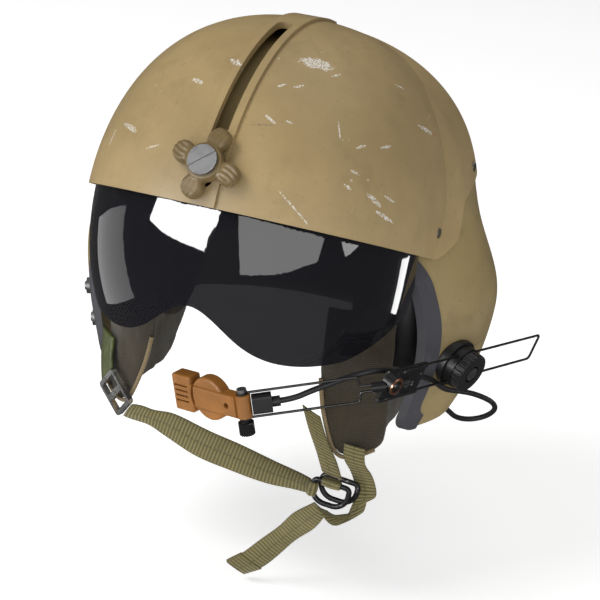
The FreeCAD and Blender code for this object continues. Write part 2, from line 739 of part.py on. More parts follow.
def build_front_flap(side):
    """Cloth from the shell edge round the front of the ear, hanging below the rim."""
    half = HARNESS_THICK / 2
    outer = [V(98.5, -28.5, 0), V(85, HARNESS_FRONT_Y - 3 - half, 0), V(68, -48.0, 0), V(58, -48.0, 0)]
    inner = [V(97.4, -26.4, 0), V(83.5, HARNESS_FRONT_Y - 0.6, 0), V(67.5, -44.6, 0), V(58, -44.6, 0)]
    outline = outer + list(reversed(inner))
    face = Part.Face(rounded_wire(outline, [0, 14, 14, 1.2, 1.2, 12, 12, 0]))
    face.translate(V(0, 0, HARNESS_LOW_Z))
    wall = face.extrude(V(0, 0, 100))
    trim = [(46.0, -48.0), (58.0, -62.0), (70.0, -99.0), (78.0, HARNESS_LOW_Z), (96.0, HARNESS_LOW_Z + 6),
            (104.0, -80.0), (104.0, -8.0), (46.0, -8.0)]
    points = [V(x, -80, z) for x, z in trim]
    region = Part.Face(rounded_wire(points, [0, 12, 10, 12, 10, 0, 0, 0])).extrude(V(0, 80, 0))
    return both_sides(wall.common(region), side)


# Chin strap

def ribbon(stations, width, thick):
    """A flat band lofted through rectangles: each has its point, width direction and face direction."""
    wires = []
    for point, across, face in stations:
        across = V(across).normalize()
        normal = V(face)
        normal = (normal - across * normal.dot(across)).normalize()
        a = across * (width / 2)
        n = normal * (thick / 2)
        corners = [point - a - n, point + a - n, point + a + n, point - a + n, point - a - n]
        wires.append(Part.makePolygon(corners))
    return Part.makeLoft(wires, True, False)


RIGHT_STRAP = [
    (V(-71.9, -49.9, -110.7), V(0.50, -0.40, 0.75), V(-0.46, -0.86, -0.2)),
    (V(-56.0, -51.2, -111.0), V(0.20, 0.10, 0.95), V(0.0, -0.98, 0.1)),
    (V(-40.0, -51.6, -112.6), V(0.20, 0.20, 0.95), V(0.0, -0.95, 0.2)),
    (V(-18.0, -52.0, -118.6), V(0.22, 0.25, 0.94), V(-0.05, -0.95, 0.2)),
    (V(8.0, -52.0, -122.8), V(0.16, 0.32, 0.93), V(-0.05, -0.95, 0.3)),
    (V(32.0, -51.4, -126.6), V(0.10, 0.40, 0.90), V(-0.05, -0.9, 0.4)),
    (V(50.0, -51.2, -128.0), V(0.04, 0.35, 0.93), V(-0.03, -0.95, 0.35)),
    (V(60.7, -52.4, -129.0), V(0.0, 0.15, 0.98), V(0.0, -0.98, 0.15)),
]
LEFT_STRAP_FRONT = [
    (V(56.0, -51.5, -78.0), V(0.93, -0.05, -0.35), V(0.1, -1.0, 0.1)),
    (V(63.0, -52.5, -93.0), V(0.93, 0.05, -0.35), V(0.0, -1.0, 0.1)),
    (V(70.0, -52.5, -106.0), V(0.95, 0.1, -0.25), V(0.1, -1.0, 0.0)),
    (V(74.5, -51.5, -117.7), V(0.98, 0.0, -0.15), V(0.0, -1.0, 0.0)),
]
STRAP_TAIL = [
    (V(71.0, -54.0, -141.0), V(0.72, 0.45, -0.55), V(0.35, -0.9, -0.2)),
    (V(60.0, -52.0, -154.0), V(0.70, 0.35, -0.60), V(0.3, -0.93, -0.2)),
    (V(48.5, -50.5, -167.5), V(0.66, 0.30, -0.62), V(0.25, -0.95, -0.2)),
    (V(37.0, -50.0, -181.5), V(0.66, 0.34, -0.64), V(0.3, -0.93, -0.2)),
    (V(26.0, -50.5, -193.5), V(0.62, 0.45, -0.58), V(0.4, -0.88, -0.2)),
    (V(16.0, -52.0, -200.5), V(0.45, 0.62, -0.62), V(0.5, -0.75, -0.4)),
]


def build_right_strap():
    return ribbon(RIGHT_STRAP, WEBBING_WIDTH, WEBBING_THICK)


def build_left_strap():
    """Two legs of narrower webbing: one ahead of the ear flap, one beside it."""
    rear_leg = [
        (V(85.5, -45.8, -97.0), V(0.98, 0.15, -0.1), V(0.15, -0.98, 0.0)),
        (V(86.5, -45.8, -107.0), V(0.98, 0.15, -0.1), V(0.15, -0.98, 0.0)),
        (V(91.0, -43.2, -115.0), V(0.98, 0.12, 0.0), V(0.12, -0.98, 0.1)),
        (V(93.5, -40.6, -123.0), V(0.98, 0.1, 0.05), V(0.1, -0.98, 0.1)),
        (V(95.0, -40.6, -132.0), V(0.95, 0.1, 0.25), V(0.1, -0.98, 0.05)),
        (V(91.0, -40.8, -140.0), V(0.75, 0.1, 0.65), V(0.1, -0.98, 0.05)),
    ]
    legs = [ribbon(leg, NARROW_WEBBING, WEBBING_THICK) for leg in (LEFT_STRAP_FRONT, rear_leg)]
    return Part.makeCompound(legs)


def build_strap_tail():
    return ribbon(STRAP_TAIL, WEBBING_WIDTH, WEBBING_THICK)


def build_snap_tab():
    """Leather tab that hangs from the shell's snap and carries the buckle."""
    stations = [
        (V(-97.0, -35.0, -66.0), V(0.70, -0.71, 0.0), V(-0.71, -0.70, 0.0)),
        (V(-95.6, -38.6, -80.0), V(0.68, -0.68, 0.25), V(-0.69, -0.70, -0.1)),
        (V(-91.55, -43.9, -91.9), V(0.538, -0.457, 0.710), V(-0.46, -0.86, -0.2)),
    ]
    return ribbon(stations, WEBBING_WIDTH + 1, 2.4)


BUCKLE_FRAME = frame_placement(V(-82.2, -47.2, -101.1), V(20.0, -6.0, -19.0), V(-0.46, -0.86, -0.2))


def build_buckle():
    """Ladder buckle with three bars."""
    half_length = BUCKLE_LENGTH / 2
    half_width = WEBBING_WIDTH / 2 + 3.0
    buckle = box(-half_length, half_length, -half_width, half_width, -1.7, 1.7)
    upright = [e for e in buckle.Edges if e.BoundBox.ZLength > 3 and e.BoundBox.XLength < 0.1]
    buckle = buckle.makeFillet(3.0, upright)
    inside = WEBBING_WIDTH / 2 + 0.4
    for start in (-half_length + 3.0, 2.0):
        buckle = buckle.cut(box(start, start + half_length - 5.0, -inside, inside, -3, 3))
    return placed(buckle, BUCKLE_FRAME)


def build_snap_studs(flange_in):
    """Snap caps on the leather tab and on the shell, wearer's right."""
    studs = []
    for y, z, radius in ((-2.0, -50.0, 5.5), (-5.0, -70.0, 6.0)):
        x = shell_x(y, z, 0) + 0.6
        stud = cylinder(radius, -4, 1.6).fuse(cylinder(radius * 0.55, 1.6, 3.0))
        top = [e for e in stud.Edges if abs(e.CenterOfMass.z - 3.0) < 0.01 and e.isClosed()]
        stud = stud.makeFillet(0.7, top)
        out = V(-1, -0.38, -0.1)
        stud = placed(stud, frame_placement(V(-x, y, z), V(0, 0, 1).cross(out), out))
        studs.append(stud.cut(flange_in))
    return Part.makeCompound(studs)


def d_ring(centre, across, along):
    """One D ring: straight bar on one side, a half round on the other."""
    a = V(across).normalize()
    d = V(along).normalize()
    half = RING_HALF_WIDTH
    depth = 15.0
    corners = [centre - a * half, centre + a * half]
    corners += [corners[1] - d * depth, corners[0] - d * depth]
    path = rounded_wire(corners, [3.0, 3.0, 9.5, 9.5])
    start = path.Edges[0].valueAt(path.Edges[0].FirstParameter)
    tangent = path.Edges[0].tangentAt(path.Edges[0].FirstParameter)
    circle = Part.Wire([Part.Circle(start, tangent, RING_WIRE_R).toShape()])
    return path.makePipeShell([circle], True, False)


def build_d_rings():
    first = d_ring(RING_POINT + V(-1, -2.4, 7), V(0.99, 0.06, -0.1), V(0.12, 0.04, 0.98))
    second = d_ring(RING_POINT + V(3, 2.2, 9.5), V(0.99, 0.06, -0.1), V(0.12, 0.04, 0.98))
    return Part.makeCompound([first, second])


# Boom, in its own frame: X back along the loop, Y up across it, Z out from the shell
BOOM = frame_placement(SWIVEL_POINT, BOOM_BACK - SWIVEL_AXIS * BOOM_BACK.dot(SWIVEL_AXIS), SWIVEL_AXIS)
GUIDE_LOW = BASE_TOP + STACK_GAP
GUIDE_TOP = GUIDE_LOW + GUIDE_DISC_THICK
WIRE_Z = GUIDE_LOW + GUIDE_DISC_THICK / 2
TENSION_LOW = GUIDE_TOP + STACK_GAP
TENSION_TOP = TENSION_LOW + TENSION_THICK
BALL_Z = WIRE_Z + PLATE_THICK / 2 + BALL_SEAT + BALL_R + 0.8
BALL_POINT = BOOM.multVec(V(BALL_BACK, BALL_UP, BALL_Z))
PIN_WAY = BOOM.Rotation.inverted().multVec(PIVOT_POINT - BALL_POINT).normalize()


def tube(points, radii, radius):
    """A round tube along straight runs and tangent arcs."""
    path = rounded_wire(points, radii, closed=False)
    start = points[0]
    direction = points[1] - points[0]
    circle = Part.Wire([Part.Circle(start, direction, radius).toShape()])
    return path.makePipeShell([circle], True, False)


def build_swivel_base(flange_in):
    base = placed(cylinder(BASE_R, -9, BASE_TOP), BOOM).cut(flange_in)
    post = placed(cylinder(POST_R, BASE_TOP - 1, TENSION_TOP - 2.2), BOOM)
    return base.fuse(post)


def build_swivel_disc():
    disc = cylinder(GUIDE_DISC_R, GUIDE_LOW, GUIDE_TOP).cut(cylinder(POST_R + RUNNING, 0, 30))
    for side in (1, -1):
        disc = disc.cut(cylinder(WIRE_R + RUNNING, -30, 30, V(0, side * WIRE_SPREAD, WIRE_Z), V(1, 0, 0)))
    return placed(disc, BOOM)


def build_tension_knob():
    knob = cylinder(TENSION_R, TENSION_LOW, TENSION_TOP)
    top = [e for e in knob.Edges if abs(e.CenterOfMass.z - TENSION_TOP) < 0.01 and e.isClosed()]
    knob = knob.makeFillet(1.2, top)
    knob = knob.cut([cylinder(POST_R + RUNNING, 0, 30), cylinder(6.0, TENSION_TOP - 2.0, 30)])
    for step in range(24):
        angle = math.radians(15 * step)
        knob = knob.cut(cylinder(0.7, TENSION_LOW - 1, TENSION_TOP + 1,
                                 V(TENSION_R * math.cos(angle), TENSION_R * math.sin(angle), 0)))
    return placed(knob, BOOM)


def build_tension_screw():
    screw = cross_head(4.6, 2.0)
    screw.translate(V(0, 0, TENSION_TOP - 1.9))
    return placed(screw, BOOM)


def build_wire_loop():
    corners = [V(PLATE_FRONT, WIRE_SPREAD, WIRE_Z), V(LOOP_BACK, WIRE_SPREAD, WIRE_Z),
               V(LOOP_BACK, -WIRE_SPREAD, WIRE_Z), V(PLATE_FRONT, -WIRE_SPREAD, WIRE_Z)]
    return placed(tube(corners, [0, WIRE_BEND, WIRE_BEND, 0], WIRE_R), BOOM)


def build_clamp_plate():
    low = WIRE_Z - PLATE_THICK / 2
    plate = box(PLATE_FRONT, PLATE_BACK, -WIRE_SPREAD, WIRE_SPREAD, low, low + PLATE_THICK)
    along = V(1, 0, 0)
    for side in (1, -1):
        line = V(0, side * WIRE_SPREAD, WIRE_Z)
        plate = plate.fuse(cylinder(CHANNEL_R, PLATE_FRONT, PLATE_BACK, line, along))
        plate = plate.cut(cylinder(WIRE_R + RUNNING, PLATE_FRONT - 1, PLATE_BACK + 1, line, along))
    plate = plate.cut(cylinder(SOCKET_R + 0.05, low + PLATE_THICK, 30, V(BALL_BACK, BALL_UP, 0)))
    return placed(plate, BOOM)


PLATE_TOP = WIRE_Z + PLATE_THICK / 2


def build_ball_socket():
    """Cup round the ball, open at the top and where the pin comes out."""
    centre = V(BALL_BACK, BALL_UP, 0)
    heart = V(BALL_BACK, BALL_UP, BALL_Z)
    cup = cylinder(SOCKET_R, PLATE_TOP, BALL_Z + 1.6, centre)
    ball = Part.makeSphere(BALL_R + RUNNING, heart)
    cup = cup.cut([ball, cylinder(PIN_WINDOW_R, 0, 14, heart, PIN_WAY)])
    return placed(cup, BOOM)


def build_socket_ring():
    centre = V(BALL_BACK, BALL_UP, 0)
    low = BALL_Z + 1.6 + 0.05
    ring = cylinder(SOCKET_R, low, low + RING_THICK, centre).cut(cylinder(BALL_R - 0.1, 0, 40, centre))
    ring = ring.cut(cylinder(PIN_WINDOW_R, 0, 14, V(BALL_BACK, BALL_UP, BALL_Z), PIN_WAY))
    return placed(ring, BOOM)


def build_clamp_screws():
    screws = []
    for x, y in ((-62.0, 0.0), (-70.0, -4.0)):
        screw = slotted_head(2.9, 1.8)
        screw.translate(V(x, y, PLATE_TOP + 0.05))
        screws.append(placed(screw, BOOM))
    return Part.makeCompound(screws)


# Front loop frame: X from the ball towards the microphone, Z up
TO_MIC = PIVOT_POINT - BALL_POINT
REACH = TO_MIC.Length
FRONT = frame_placement(BALL_POINT, TO_MIC, V(0, 0, 1) - TO_MIC * (TO_MIC.z / REACH ** 2))
PIN_END = BALL_R + COLLAR_LENGTH


def build_ball():
    ball = Part.makeSphere(BALL_R)
    pin = cylinder(PIVOT_R, 0, PIN_END, V(0, 0, 0), V(1, 0, 0))
    return placed(ball.fuse(pin), FRONT)


def build_front_collar():
    collar = cylinder(COLLAR_R, BALL_R + 0.6, PIN_END + 1.2, V(0, 0, 0), V(1, 0, 0))
    return placed(collar.cut(cylinder(PIVOT_R + RUNNING, 0, PIN_END + 0.4, V(0, 0, 0), V(1, 0, 0))), FRONT)


def build_front_loop():
    wires = []
    start = PIN_END + 1.2
    for side in (1, -1):
        level = side * FRONT_SPREAD
        points = [V(start, 0, side * 1.9), V(start + 7, 0, side * 1.9), V(start + 7.6, 0, level),
                  V(REACH - EYELET_R + 0.6, 0, level)]
        wire = tube(points, [0, 1.6, 1.6, 0], WIRE_R)
        eyelet = cylinder(EYELET_R, level - EYELET_THICK / 2, level + EYELET_THICK / 2, V(REACH, 0, 0))
        wire = wire.fuse(eyelet).cut(cylinder(PIVOT_R + RUNNING, -30, 30, V(REACH, 0, 0)))
        wires.append(placed(wire, FRONT))
    return Part.makeCompound(wires)


def build_pivot_screw():
    top = FRONT_SPREAD + EYELET_THICK / 2 + 0.05
    screw = cylinder(PIVOT_R, -FRONT_SPREAD - 7, top + 0.2, V(REACH, 0, 0))
    head = slotted_head(3.0, 2.0)
    head.translate(V(REACH, 0, top))
    return placed(screw.fuse(head), FRONT)


def build_thumb_screw():
    top = -FRONT_SPREAD - EYELET_THICK / 2 - 0.1
    knob = cylinder(THUMB_R, top - THUMB_THICK - 1.5, top - 1.5).fuse(cylinder(3.0, top - 1.6, top))
    for step in range(20):
        angle = math.radians(18 * step)
        edge = V(THUMB_R * math.cos(angle), THUMB_R * math.sin(angle), 0)
        knob = knob.cut(cylinder(0.5, top - 20, top - 1.5, edge))
    knob.translate(V(REACH, 0, 0))
    knob = knob.cut(cylinder(PIVOT_R + RUNNING, -FRONT_SPREAD - 7.4, 30, V(REACH, 0, 0)))
    return placed(knob, FRONT)


def build_mic_boot():
    end = REACH - BARREL_R - SEAT_GAP
    boot = box(end - BOOT_LENGTH, end, -4.2, 4.2, -5.6, 5.6)
    boot = boot.makeFillet(1.5, [e for e in boot.Edges if e.BoundBox.XLength > 5])
    neck = cylinder(LEAD_R + 1.4, end - BOOT_LENGTH - 5, end - BOOT_LENGTH + 0.5, V(0, 0, 0), V(1, 0, 0))
    return placed(boot.fuse(neck), FRONT)


FRONT_UP = FRONT.Rotation.multVec(V(0, 0, 1))
MIC_DIRECTION = FreeCAD.Rotation(FRONT_UP, MIC_YAW).multVec(FRONT.Rotation.multVec(V(1, 0, 0)))
MIC = frame_placement(PIVOT_POINT, MIC_DIRECTION, FRONT_UP)


def build_mic_body():
    half = MIC_BAND_HEIGHT / 2
    disc = cylinder(MIC_DISC_R, -MIC_DISC_THICK / 2, MIC_DISC_THICK / 2, V(MIC_DISC_AT, 0, 0), V(0, 1, 0))
    disc = disc.makeFillet(1.8, [e for e in disc.Edges if e.Curve.TypeId == "Part::GeomCircle"])
    band = box(2, MIC_BAND_LENGTH, -3.4, 5.6, -half, half)
    band = band.makeFillet(1.2, [e for e in band.Edges if e.BoundBox.XLength > 20])
    barrel = cylinder(BARREL_R, -half - 0.2, half + 0.2)
    body = disc.fuse([band, barrel])
    body = body.cut([cylinder(PIVOT_R + RUNNING, -30, 30), cylinder(1.9, -20, 20, V(9.5, 0, 0), V(0, 1, 0))])
    return placed(body, MIC)


def build_mic_block():
    start = MIC_BAND_LENGTH + 0.05
    half = MIC_BLOCK_HEIGHT / 2
    neck = box(start, start + 4, -3.4, 5.0, -MIC_BAND_HEIGHT / 2, MIC_BAND_HEIGHT / 2)
    deep = MIC_BLOCK_THICK / 2
    block = box(start + 3, start + 3 + MIC_BLOCK_LENGTH, -deep, deep, -half, half)
    block = block.makeFillet(1.4, [e for e in block.Edges])
    block = block.fuse(neck)
    block = block.cut(cylinder(MIC_DISC_R + 0.05, -30, 30, V(MIC_DISC_AT, 0, 0), V(0, 1, 0)))
    for step in range(SOUND_SLOTS):
        level = (step - (SOUND_SLOTS - 1) / 2) * SOUND_PITCH
        block = block.cut(box(start + 6, start + 17, MIC_BLOCK_THICK / 2 - 1.6, 9, level - 0.6, level + 0.6))
    return placed(block, MIC)


# Microphone lead: one cord in four stretches, each carried by the body it runs along

def lead_radii(points):
    """Arc of each bend: 0.45 of the shorter run over the tangent of half the turn."""
    radii = [0]
    for before, here, after in zip(points, points[1:], points[2:]):
        run = min(before.distanceToPoint(here), here.distanceToPoint(after))
        turn = (here - before).getAngle(after - here)
        radii.append(0.45 * run / math.tan(turn / 2))
    return radii + [0]


def lead(name, points):
    radii = lead_radii(points)
    shape = tube(points, radii, LEAD_R)
    length = rounded_wire(points, radii, closed=False).Length
    print(name, "length", round(length, 1), "radii", [round(r, 1) for r in radii[1:-1]],
          "volume ratio", round(shape.Volume / (math.pi * LEAD_R ** 2 * length), 4))
    return shape


def front_point(x, y, z):
    return FRONT.multVec(V(x, y, z))


def boom_point(x, y, z):
    return BOOM.multVec(V(x, y, z))


def onward(points, length):
    """The point straight on past the end of a route, so that the next stretch starts in line."""
    return points[-1] + (points[-1] - points[-2]).normalize() * length


BOOT_END = REACH - BARREL_R - SEAT_GAP - BOOT_LENGTH - 5
LEAD_FRONT = [front_point(BOOT_END, 0, 0), front_point(BOOT_END - 8, 0, 0), front_point(48, -2.2, 3.0),
              front_point(34, -3.6, 5.6)]
LEAD_BRIDGE = [LEAD_FRONT[-1], onward(LEAD_FRONT, 12), boom_point(-84, 10.5, 0.0), boom_point(-65, 4.4, 0.3)]
LEAD_PLATE = [LEAD_BRIDGE[-1], onward(LEAD_BRIDGE, 13), boom_point(-38, -3.4, 0.6)]
LEAD_LOOP = [LEAD_PLATE[-1], onward(LEAD_PLATE, 15), boom_point(-8, -16.4, 3.9), boom_point(8, -20.4, 4.8),
             boom_point(26, -24.5, 6.2), boom_point(44, -30.5, 8.2), boom_point(58.5, -37.0, 9.2),
             boom_point(68.5, -45.0, 8.4), boom_point(71.5, -54.8, 3.2), boom_point(66.0, -61.5, -4.0),
             boom_point(54.5, -61.0, -9.0), boom_point(45.0, -55.0, -12.0), boom_point(37.5, -50.5, -15.0)]


def build_cable_tie():
    """A tie round the lead where it goes up under the shell edge."""
    here = LEAD_LOOP[-1]
    direction = (LEAD_LOOP[-1] - LEAD_LOOP[-2]).normalize()
    low = here - direction * 4.6
    ring = Part.makeCylinder(LEAD_R + 1.3, 3.2, low, direction)
    return ring.cut(Part.makeCylinder(LEAD_R + 0.1, 12, low - direction * 4, direction))


def build_lead_clip(seat):
    """P clip on the inside of the rim that the lead's end goes into."""
    here = LEAD_LOOP[-1]
    direction = (LEAD_LOOP[-1] - LEAD_LOOP[-2]).normalize()
    barrel = Part.makeCylinder(LEAD_R + 1.6, 9.0, here + direction * 0.05, direction)
    tongue = box(here.x - 3, here.x + 12, here.y - 4, here.y + 4, here.z + 3, here.z + 5)
    return barrel.fuse(tongue).common(seat)


# Comm cord gland

def gland_frame_solid(shape):
    return placed(shape, frame_placement(GLAND_POINT, V(0, 0, 1), GLAND_AXIS))


def build_gland():
    tube_r = GLAND_BORE_R + 1.2
    gland = cylinder(tube_r, -GLAND_LENGTH, 9).fuse(cylinder(GLAND_R, 1.7, 5.0))
    gland = gland.fuse(cylinder(GLAND_R, -SHELL_WALL - 5.0, -SHELL_WALL - 1.7))
    return gland_frame_solid(gland.cut(cylinder(GLAND_BORE_R, -40, 40)))


def main():
    os.makedirs("parts", exist_ok=True)
    outer = shell_solid(0)
    inner = shell_solid(SHELL_WALL)
    flange_in = shell_solid(-SEAT_GAP)
    flange_out = shell_solid(-SEAT_GAP - COVER_WALL)
    seat = shell_solid(SHELL_WALL + SEAT_GAP)
    liner_inner = shell_solid(SHELL_WALL + SEAT_GAP + LINER_THICK)
    under_liner = shell_solid(SHELL_WALL + 2 * SEAT_GAP + LINER_THICK)
    pad_low = shell_solid(SHELL_WALL + 3 * SEAT_GAP + LINER_THICK + PAD_THICK)

    shell = build_shell(outer, inner)
    save("outer_shell", shell)
    save("edge_trim", build_trim(shell))
    save("visor_cover", build_cover(turned_solid(0), flange_out, flange_in))
    save("cover_screws", build_cover_screws())
    save("visor_lens", build_lens())
    save("visor_lock_stud", build_lock_stud())
    save("slot_slider", build_slot_slider())
    save("visor_knob", build_knob())
    save("knob_disc", build_knob_disc())
    save("foam_liner", build_liner(seat, liner_inner))
    save("crown_pad", build_crown_pad(under_liner))
    save("nape_pad", build_nape_pad(seat))
    save("headband", build_headband())
    save("headband_clips", build_harness_clips(under_liner))
    save("crown_straps", build_crown_straps(pad_low))
    save("earphones", Part.makeCompound([build_earphone(side) for _, side in SIDES]))
    save("ear_foams", Part.makeCompound([build_ear_foam(side) for _, side in SIDES]))
    for name, side in SIDES:
        save("visor_guide_" + name, build_visor_guide(flange_in, side))
        save("earcup_" + name, build_earcup(side))
        save("ear_seal_" + name, build_ear_seal(side))
        save("cup_spacer_" + name, build_cup_spacer(seat, side))
        save("ear_harness_" + name, build_harness_panel(side))
        save("front_flap_" + name, build_front_flap(side))
    save("chin_strap_right", build_right_strap())
    save("chin_strap_left", build_left_strap())
    save("strap_tail", build_strap_tail())
    save("snap_tab", build_snap_tab())
    save("strap_buckle", build_buckle())
    save("snap_studs", build_snap_studs(flange_in))
    save("d_rings", build_d_rings())
    save("swivel_base", build_swivel_base(flange_in))
    save("swivel_disc", build_swivel_disc())
    save("tension_knob", build_tension_knob())
    save("tension_screw", build_tension_screw())
    save("boom_wire_loop", build_wire_loop())
    save("clamp_plate", build_clamp_plate())
    save("ball_socket", build_ball_socket())
    save("socket_ring", build_socket_ring())
    save("clamp_screws", build_clamp_screws())
    save("boom_ball", build_ball())
    save("front_collar", build_front_collar())
    save("front_wires", build_front_loop())
    save("pivot_screw", build_pivot_screw())
    save("thumb_screw", build_thumb_screw())
    save("mic_boot", build_mic_boot())
    save("mic_body", build_mic_body())
    save("mic_front_block", build_mic_block())
    for name, points in (("mic_lead_front", LEAD_FRONT), ("mic_lead_bridge", LEAD_BRIDGE),
                         ("mic_lead_plate", LEAD_PLATE), ("mic_lead_loop", LEAD_LOOP)):
        save(name, lead(name, points))
    save("cable_tie", build_cable_tie())
    save("lead_clip", build_lead_clip(seat))
    save("comm_gland", build_gland())


main()
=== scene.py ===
import json
import math

import bmesh
import bpy
from mathutils import Matrix, Vector, noise
from mathutils.bvhtree import BVHTree


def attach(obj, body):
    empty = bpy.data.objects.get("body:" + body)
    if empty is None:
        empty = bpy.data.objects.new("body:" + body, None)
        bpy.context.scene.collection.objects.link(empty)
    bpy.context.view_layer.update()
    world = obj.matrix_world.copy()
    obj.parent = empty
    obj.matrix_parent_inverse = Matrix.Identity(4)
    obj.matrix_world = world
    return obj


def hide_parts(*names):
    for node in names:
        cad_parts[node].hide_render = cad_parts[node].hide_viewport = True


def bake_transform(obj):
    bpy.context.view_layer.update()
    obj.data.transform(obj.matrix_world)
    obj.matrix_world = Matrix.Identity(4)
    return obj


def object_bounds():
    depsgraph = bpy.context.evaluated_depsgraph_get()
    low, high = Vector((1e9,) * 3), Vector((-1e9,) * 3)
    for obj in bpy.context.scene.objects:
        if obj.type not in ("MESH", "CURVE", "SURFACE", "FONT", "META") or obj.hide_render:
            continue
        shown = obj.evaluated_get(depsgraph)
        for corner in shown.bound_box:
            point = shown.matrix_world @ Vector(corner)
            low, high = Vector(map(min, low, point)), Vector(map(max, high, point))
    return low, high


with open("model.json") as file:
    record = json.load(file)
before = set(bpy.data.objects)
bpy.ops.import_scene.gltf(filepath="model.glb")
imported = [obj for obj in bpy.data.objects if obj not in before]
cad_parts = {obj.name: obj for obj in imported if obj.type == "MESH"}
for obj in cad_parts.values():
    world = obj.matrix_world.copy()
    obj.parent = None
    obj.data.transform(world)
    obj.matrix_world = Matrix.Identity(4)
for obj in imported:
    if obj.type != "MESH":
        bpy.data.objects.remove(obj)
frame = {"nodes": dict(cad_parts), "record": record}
CAD_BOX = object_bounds()
NODES = frame["nodes"]
V = Vector


# Camera, fitted to the photograph with its distance, elevation and scale held

EYE = V((0.4102, -1.0717, 0.3810))
BACK = V((0.342, -0.893, 0.293)).normalized()
RIGHT = V((0.918, 0.383, 0.097)).normalized()
UP = V((-0.199, 0.235, 0.951)).normalized()
FOCAL = 1860.0
CENTRE = (276.92, 211.51)
PICTURE_SIZE = 600
SENSOR_MM = 36


def pixel_ray(u, v):
    """The direction from the eye through a pixel of the photograph."""
    across, down = (u - CENTRE[0]) / FOCAL, (v - CENTRE[1]) / FOCAL
    return (-BACK + RIGHT * across - UP * down).normalized()


back = -pixel_ray(PICTURE_SIZE / 2, PICTURE_SIZE / 2)
right = (RIGHT - back * RIGHT.dot(back)).normalized()
up = back.cross(right)
camera_data = bpy.data.cameras.new("camera")
camera_data.lens = FOCAL * SENSOR_MM / PICTURE_SIZE
camera_data.sensor_width = SENSOR_MM
camera_data.clip_end = 50
camera = bpy.data.objects.new("camera", camera_data)
bpy.context.collection.objects.link(camera)
camera.matrix_world = Matrix((
    (right.x, up.x, back.x, EYE.x), (right.y, up.y, back.y, EYE.y),
    (right.z, up.z, back.z, EYE.z), (0, 0, 0, 1)))
bpy.context.scene.camera = camera
bpy.context.scene.view_settings.view_transform = "Standard"


# Material helpers

def is_socket(value):
    return hasattr(value, "is_linked")


class Build:
    """A node tree with short calls for the nodes the materials use."""

    def __init__(self, name):
        self.mat = bpy.data.materials.new(name)
        self.mat.use_nodes = True
        self.tree = self.mat.node_tree
        self.shader = self.tree.nodes["Principled BSDF"]
        self.coords = self.tree.nodes.new("ShaderNodeTexCoord")
        self.place = self.coords.outputs["Object"]

    def link(self, a, b):
        self.tree.links.new(a, b)

    def put(self, socket, value):
        if is_socket(value):
            self.link(value, socket)
        else:
            socket.default_value = value

    def math(self, op, a, b=0.0):
        n = self.tree.nodes.new("ShaderNodeMath")
        n.operation = op
        self.put(n.inputs[0], a)
        self.put(n.inputs[1], b)
        return n.outputs[0]

    def noise(self, scale, detail=3.0, rough=0.5, place=None, distortion=0.0):
        n = self.tree.nodes.new("ShaderNodeTexNoise")
        self.link(place or self.place, n.inputs["Vector"])
        n.inputs["Scale"].default_value = scale
        n.inputs["Detail"].default_value = detail
        n.inputs["Roughness"].default_value = rough
        n.inputs["Distortion"].default_value = distortion
        return n.outputs["Fac"]

    def cells(self, scale, feature="F1"):
        n = self.tree.nodes.new("ShaderNodeTexVoronoi")
        n.feature = feature
        self.link(self.place, n.inputs["Vector"])
        n.inputs["Scale"].default_value = scale
        return n.outputs["Distance"]

    def wave(self, scale, axis, distortion):
        n = self.tree.nodes.new("ShaderNodeTexWave")
        n.bands_direction = axis
        self.link(self.place, n.inputs["Vector"])
        n.inputs["Scale"].default_value = scale
        n.inputs["Distortion"].default_value = distortion
        return n.outputs["Fac"]

    def stretched(self, scale, rotation=(0, 0, 0)):
        """Object coordinates scaled by axis, for grain that runs one way."""
        n = self.tree.nodes.new("ShaderNodeMapping")
        self.link(self.place, n.inputs["Vector"])
        n.inputs["Rotation"].default_value = rotation
        n.inputs["Scale"].default_value = scale
        return n.outputs[0]

    def band(self, value, low, high):
        """0 at low and 1 at high, with a soft step between them."""
        n = self.tree.nodes.new("ShaderNodeMapRange")
        n.interpolation_type = "SMOOTHSTEP"
        self.put(n.inputs["Value"], value)
        n.inputs["From Min"].default_value = low
        n.inputs["From Max"].default_value = high
        return n.outputs["Result"]

    def spread(self, value, low, high):
        """0 to 1 carried to low to high."""
        n = self.tree.nodes.new("ShaderNodeMapRange")
        self.put(n.inputs["Value"], value)
        n.inputs["To Min"].default_value = low
        n.inputs["To Max"].default_value = high
        return n.outputs["Result"]

    def mix(self, factor, a, b):
        n = self.tree.nodes.new("ShaderNodeMix")
        n.data_type = "RGBA"
        self.put(n.inputs["Factor"], factor)
        self.put(n.inputs[6], a if is_socket(a) else (*a, 1))
        self.put(n.inputs[7], b if is_socket(b) else (*b, 1))
        return n.outputs[2]

    def mix_part(self, mask, share, a, b):
        """b over a where mask is 1, at a share of its full strength."""
        return self.mix(self.math("MULTIPLY", mask, share), a, b)

    def bump(self, height, strength, distance):
        n = self.tree.nodes.new("ShaderNodeBump")
        self.link(height, n.inputs["Height"])
        n.inputs["Strength"].default_value = strength
        n.inputs["Distance"].default_value = distance
        return n.outputs["Normal"]

    def done(self, colour, rough, normal=None, metal=0.0, sheen=0.0, coat=0.0):
        """The material, from a colour socket, a roughness and a bump."""
        self.put(self.shader.inputs["Base Color"], colour)
        self.put(self.shader.inputs["Roughness"], rough)
        self.shader.inputs["Metallic"].default_value = metal
        self.shader.inputs["Sheen Weight"].default_value = sheen
        self.shader.inputs["Sheen Roughness"].default_value = 0.5
        self.shader.inputs["Coat Weight"].default_value = coat
        self.shader.inputs["Coat Roughness"].default_value = 0.25
        if normal:
            self.link(normal, self.shader.inputs["Normal"])
        return self.mat


# Lengths of the textures, in metres
MARK_DEPTH = 0.004
RIB_PITCH = 0.0024
DASH_PITCH = 0.0035
# Scale of a wave texture with a pitch of one metre
WAVE_OF_PITCH = 0.157
LANES_ACROSS = 9


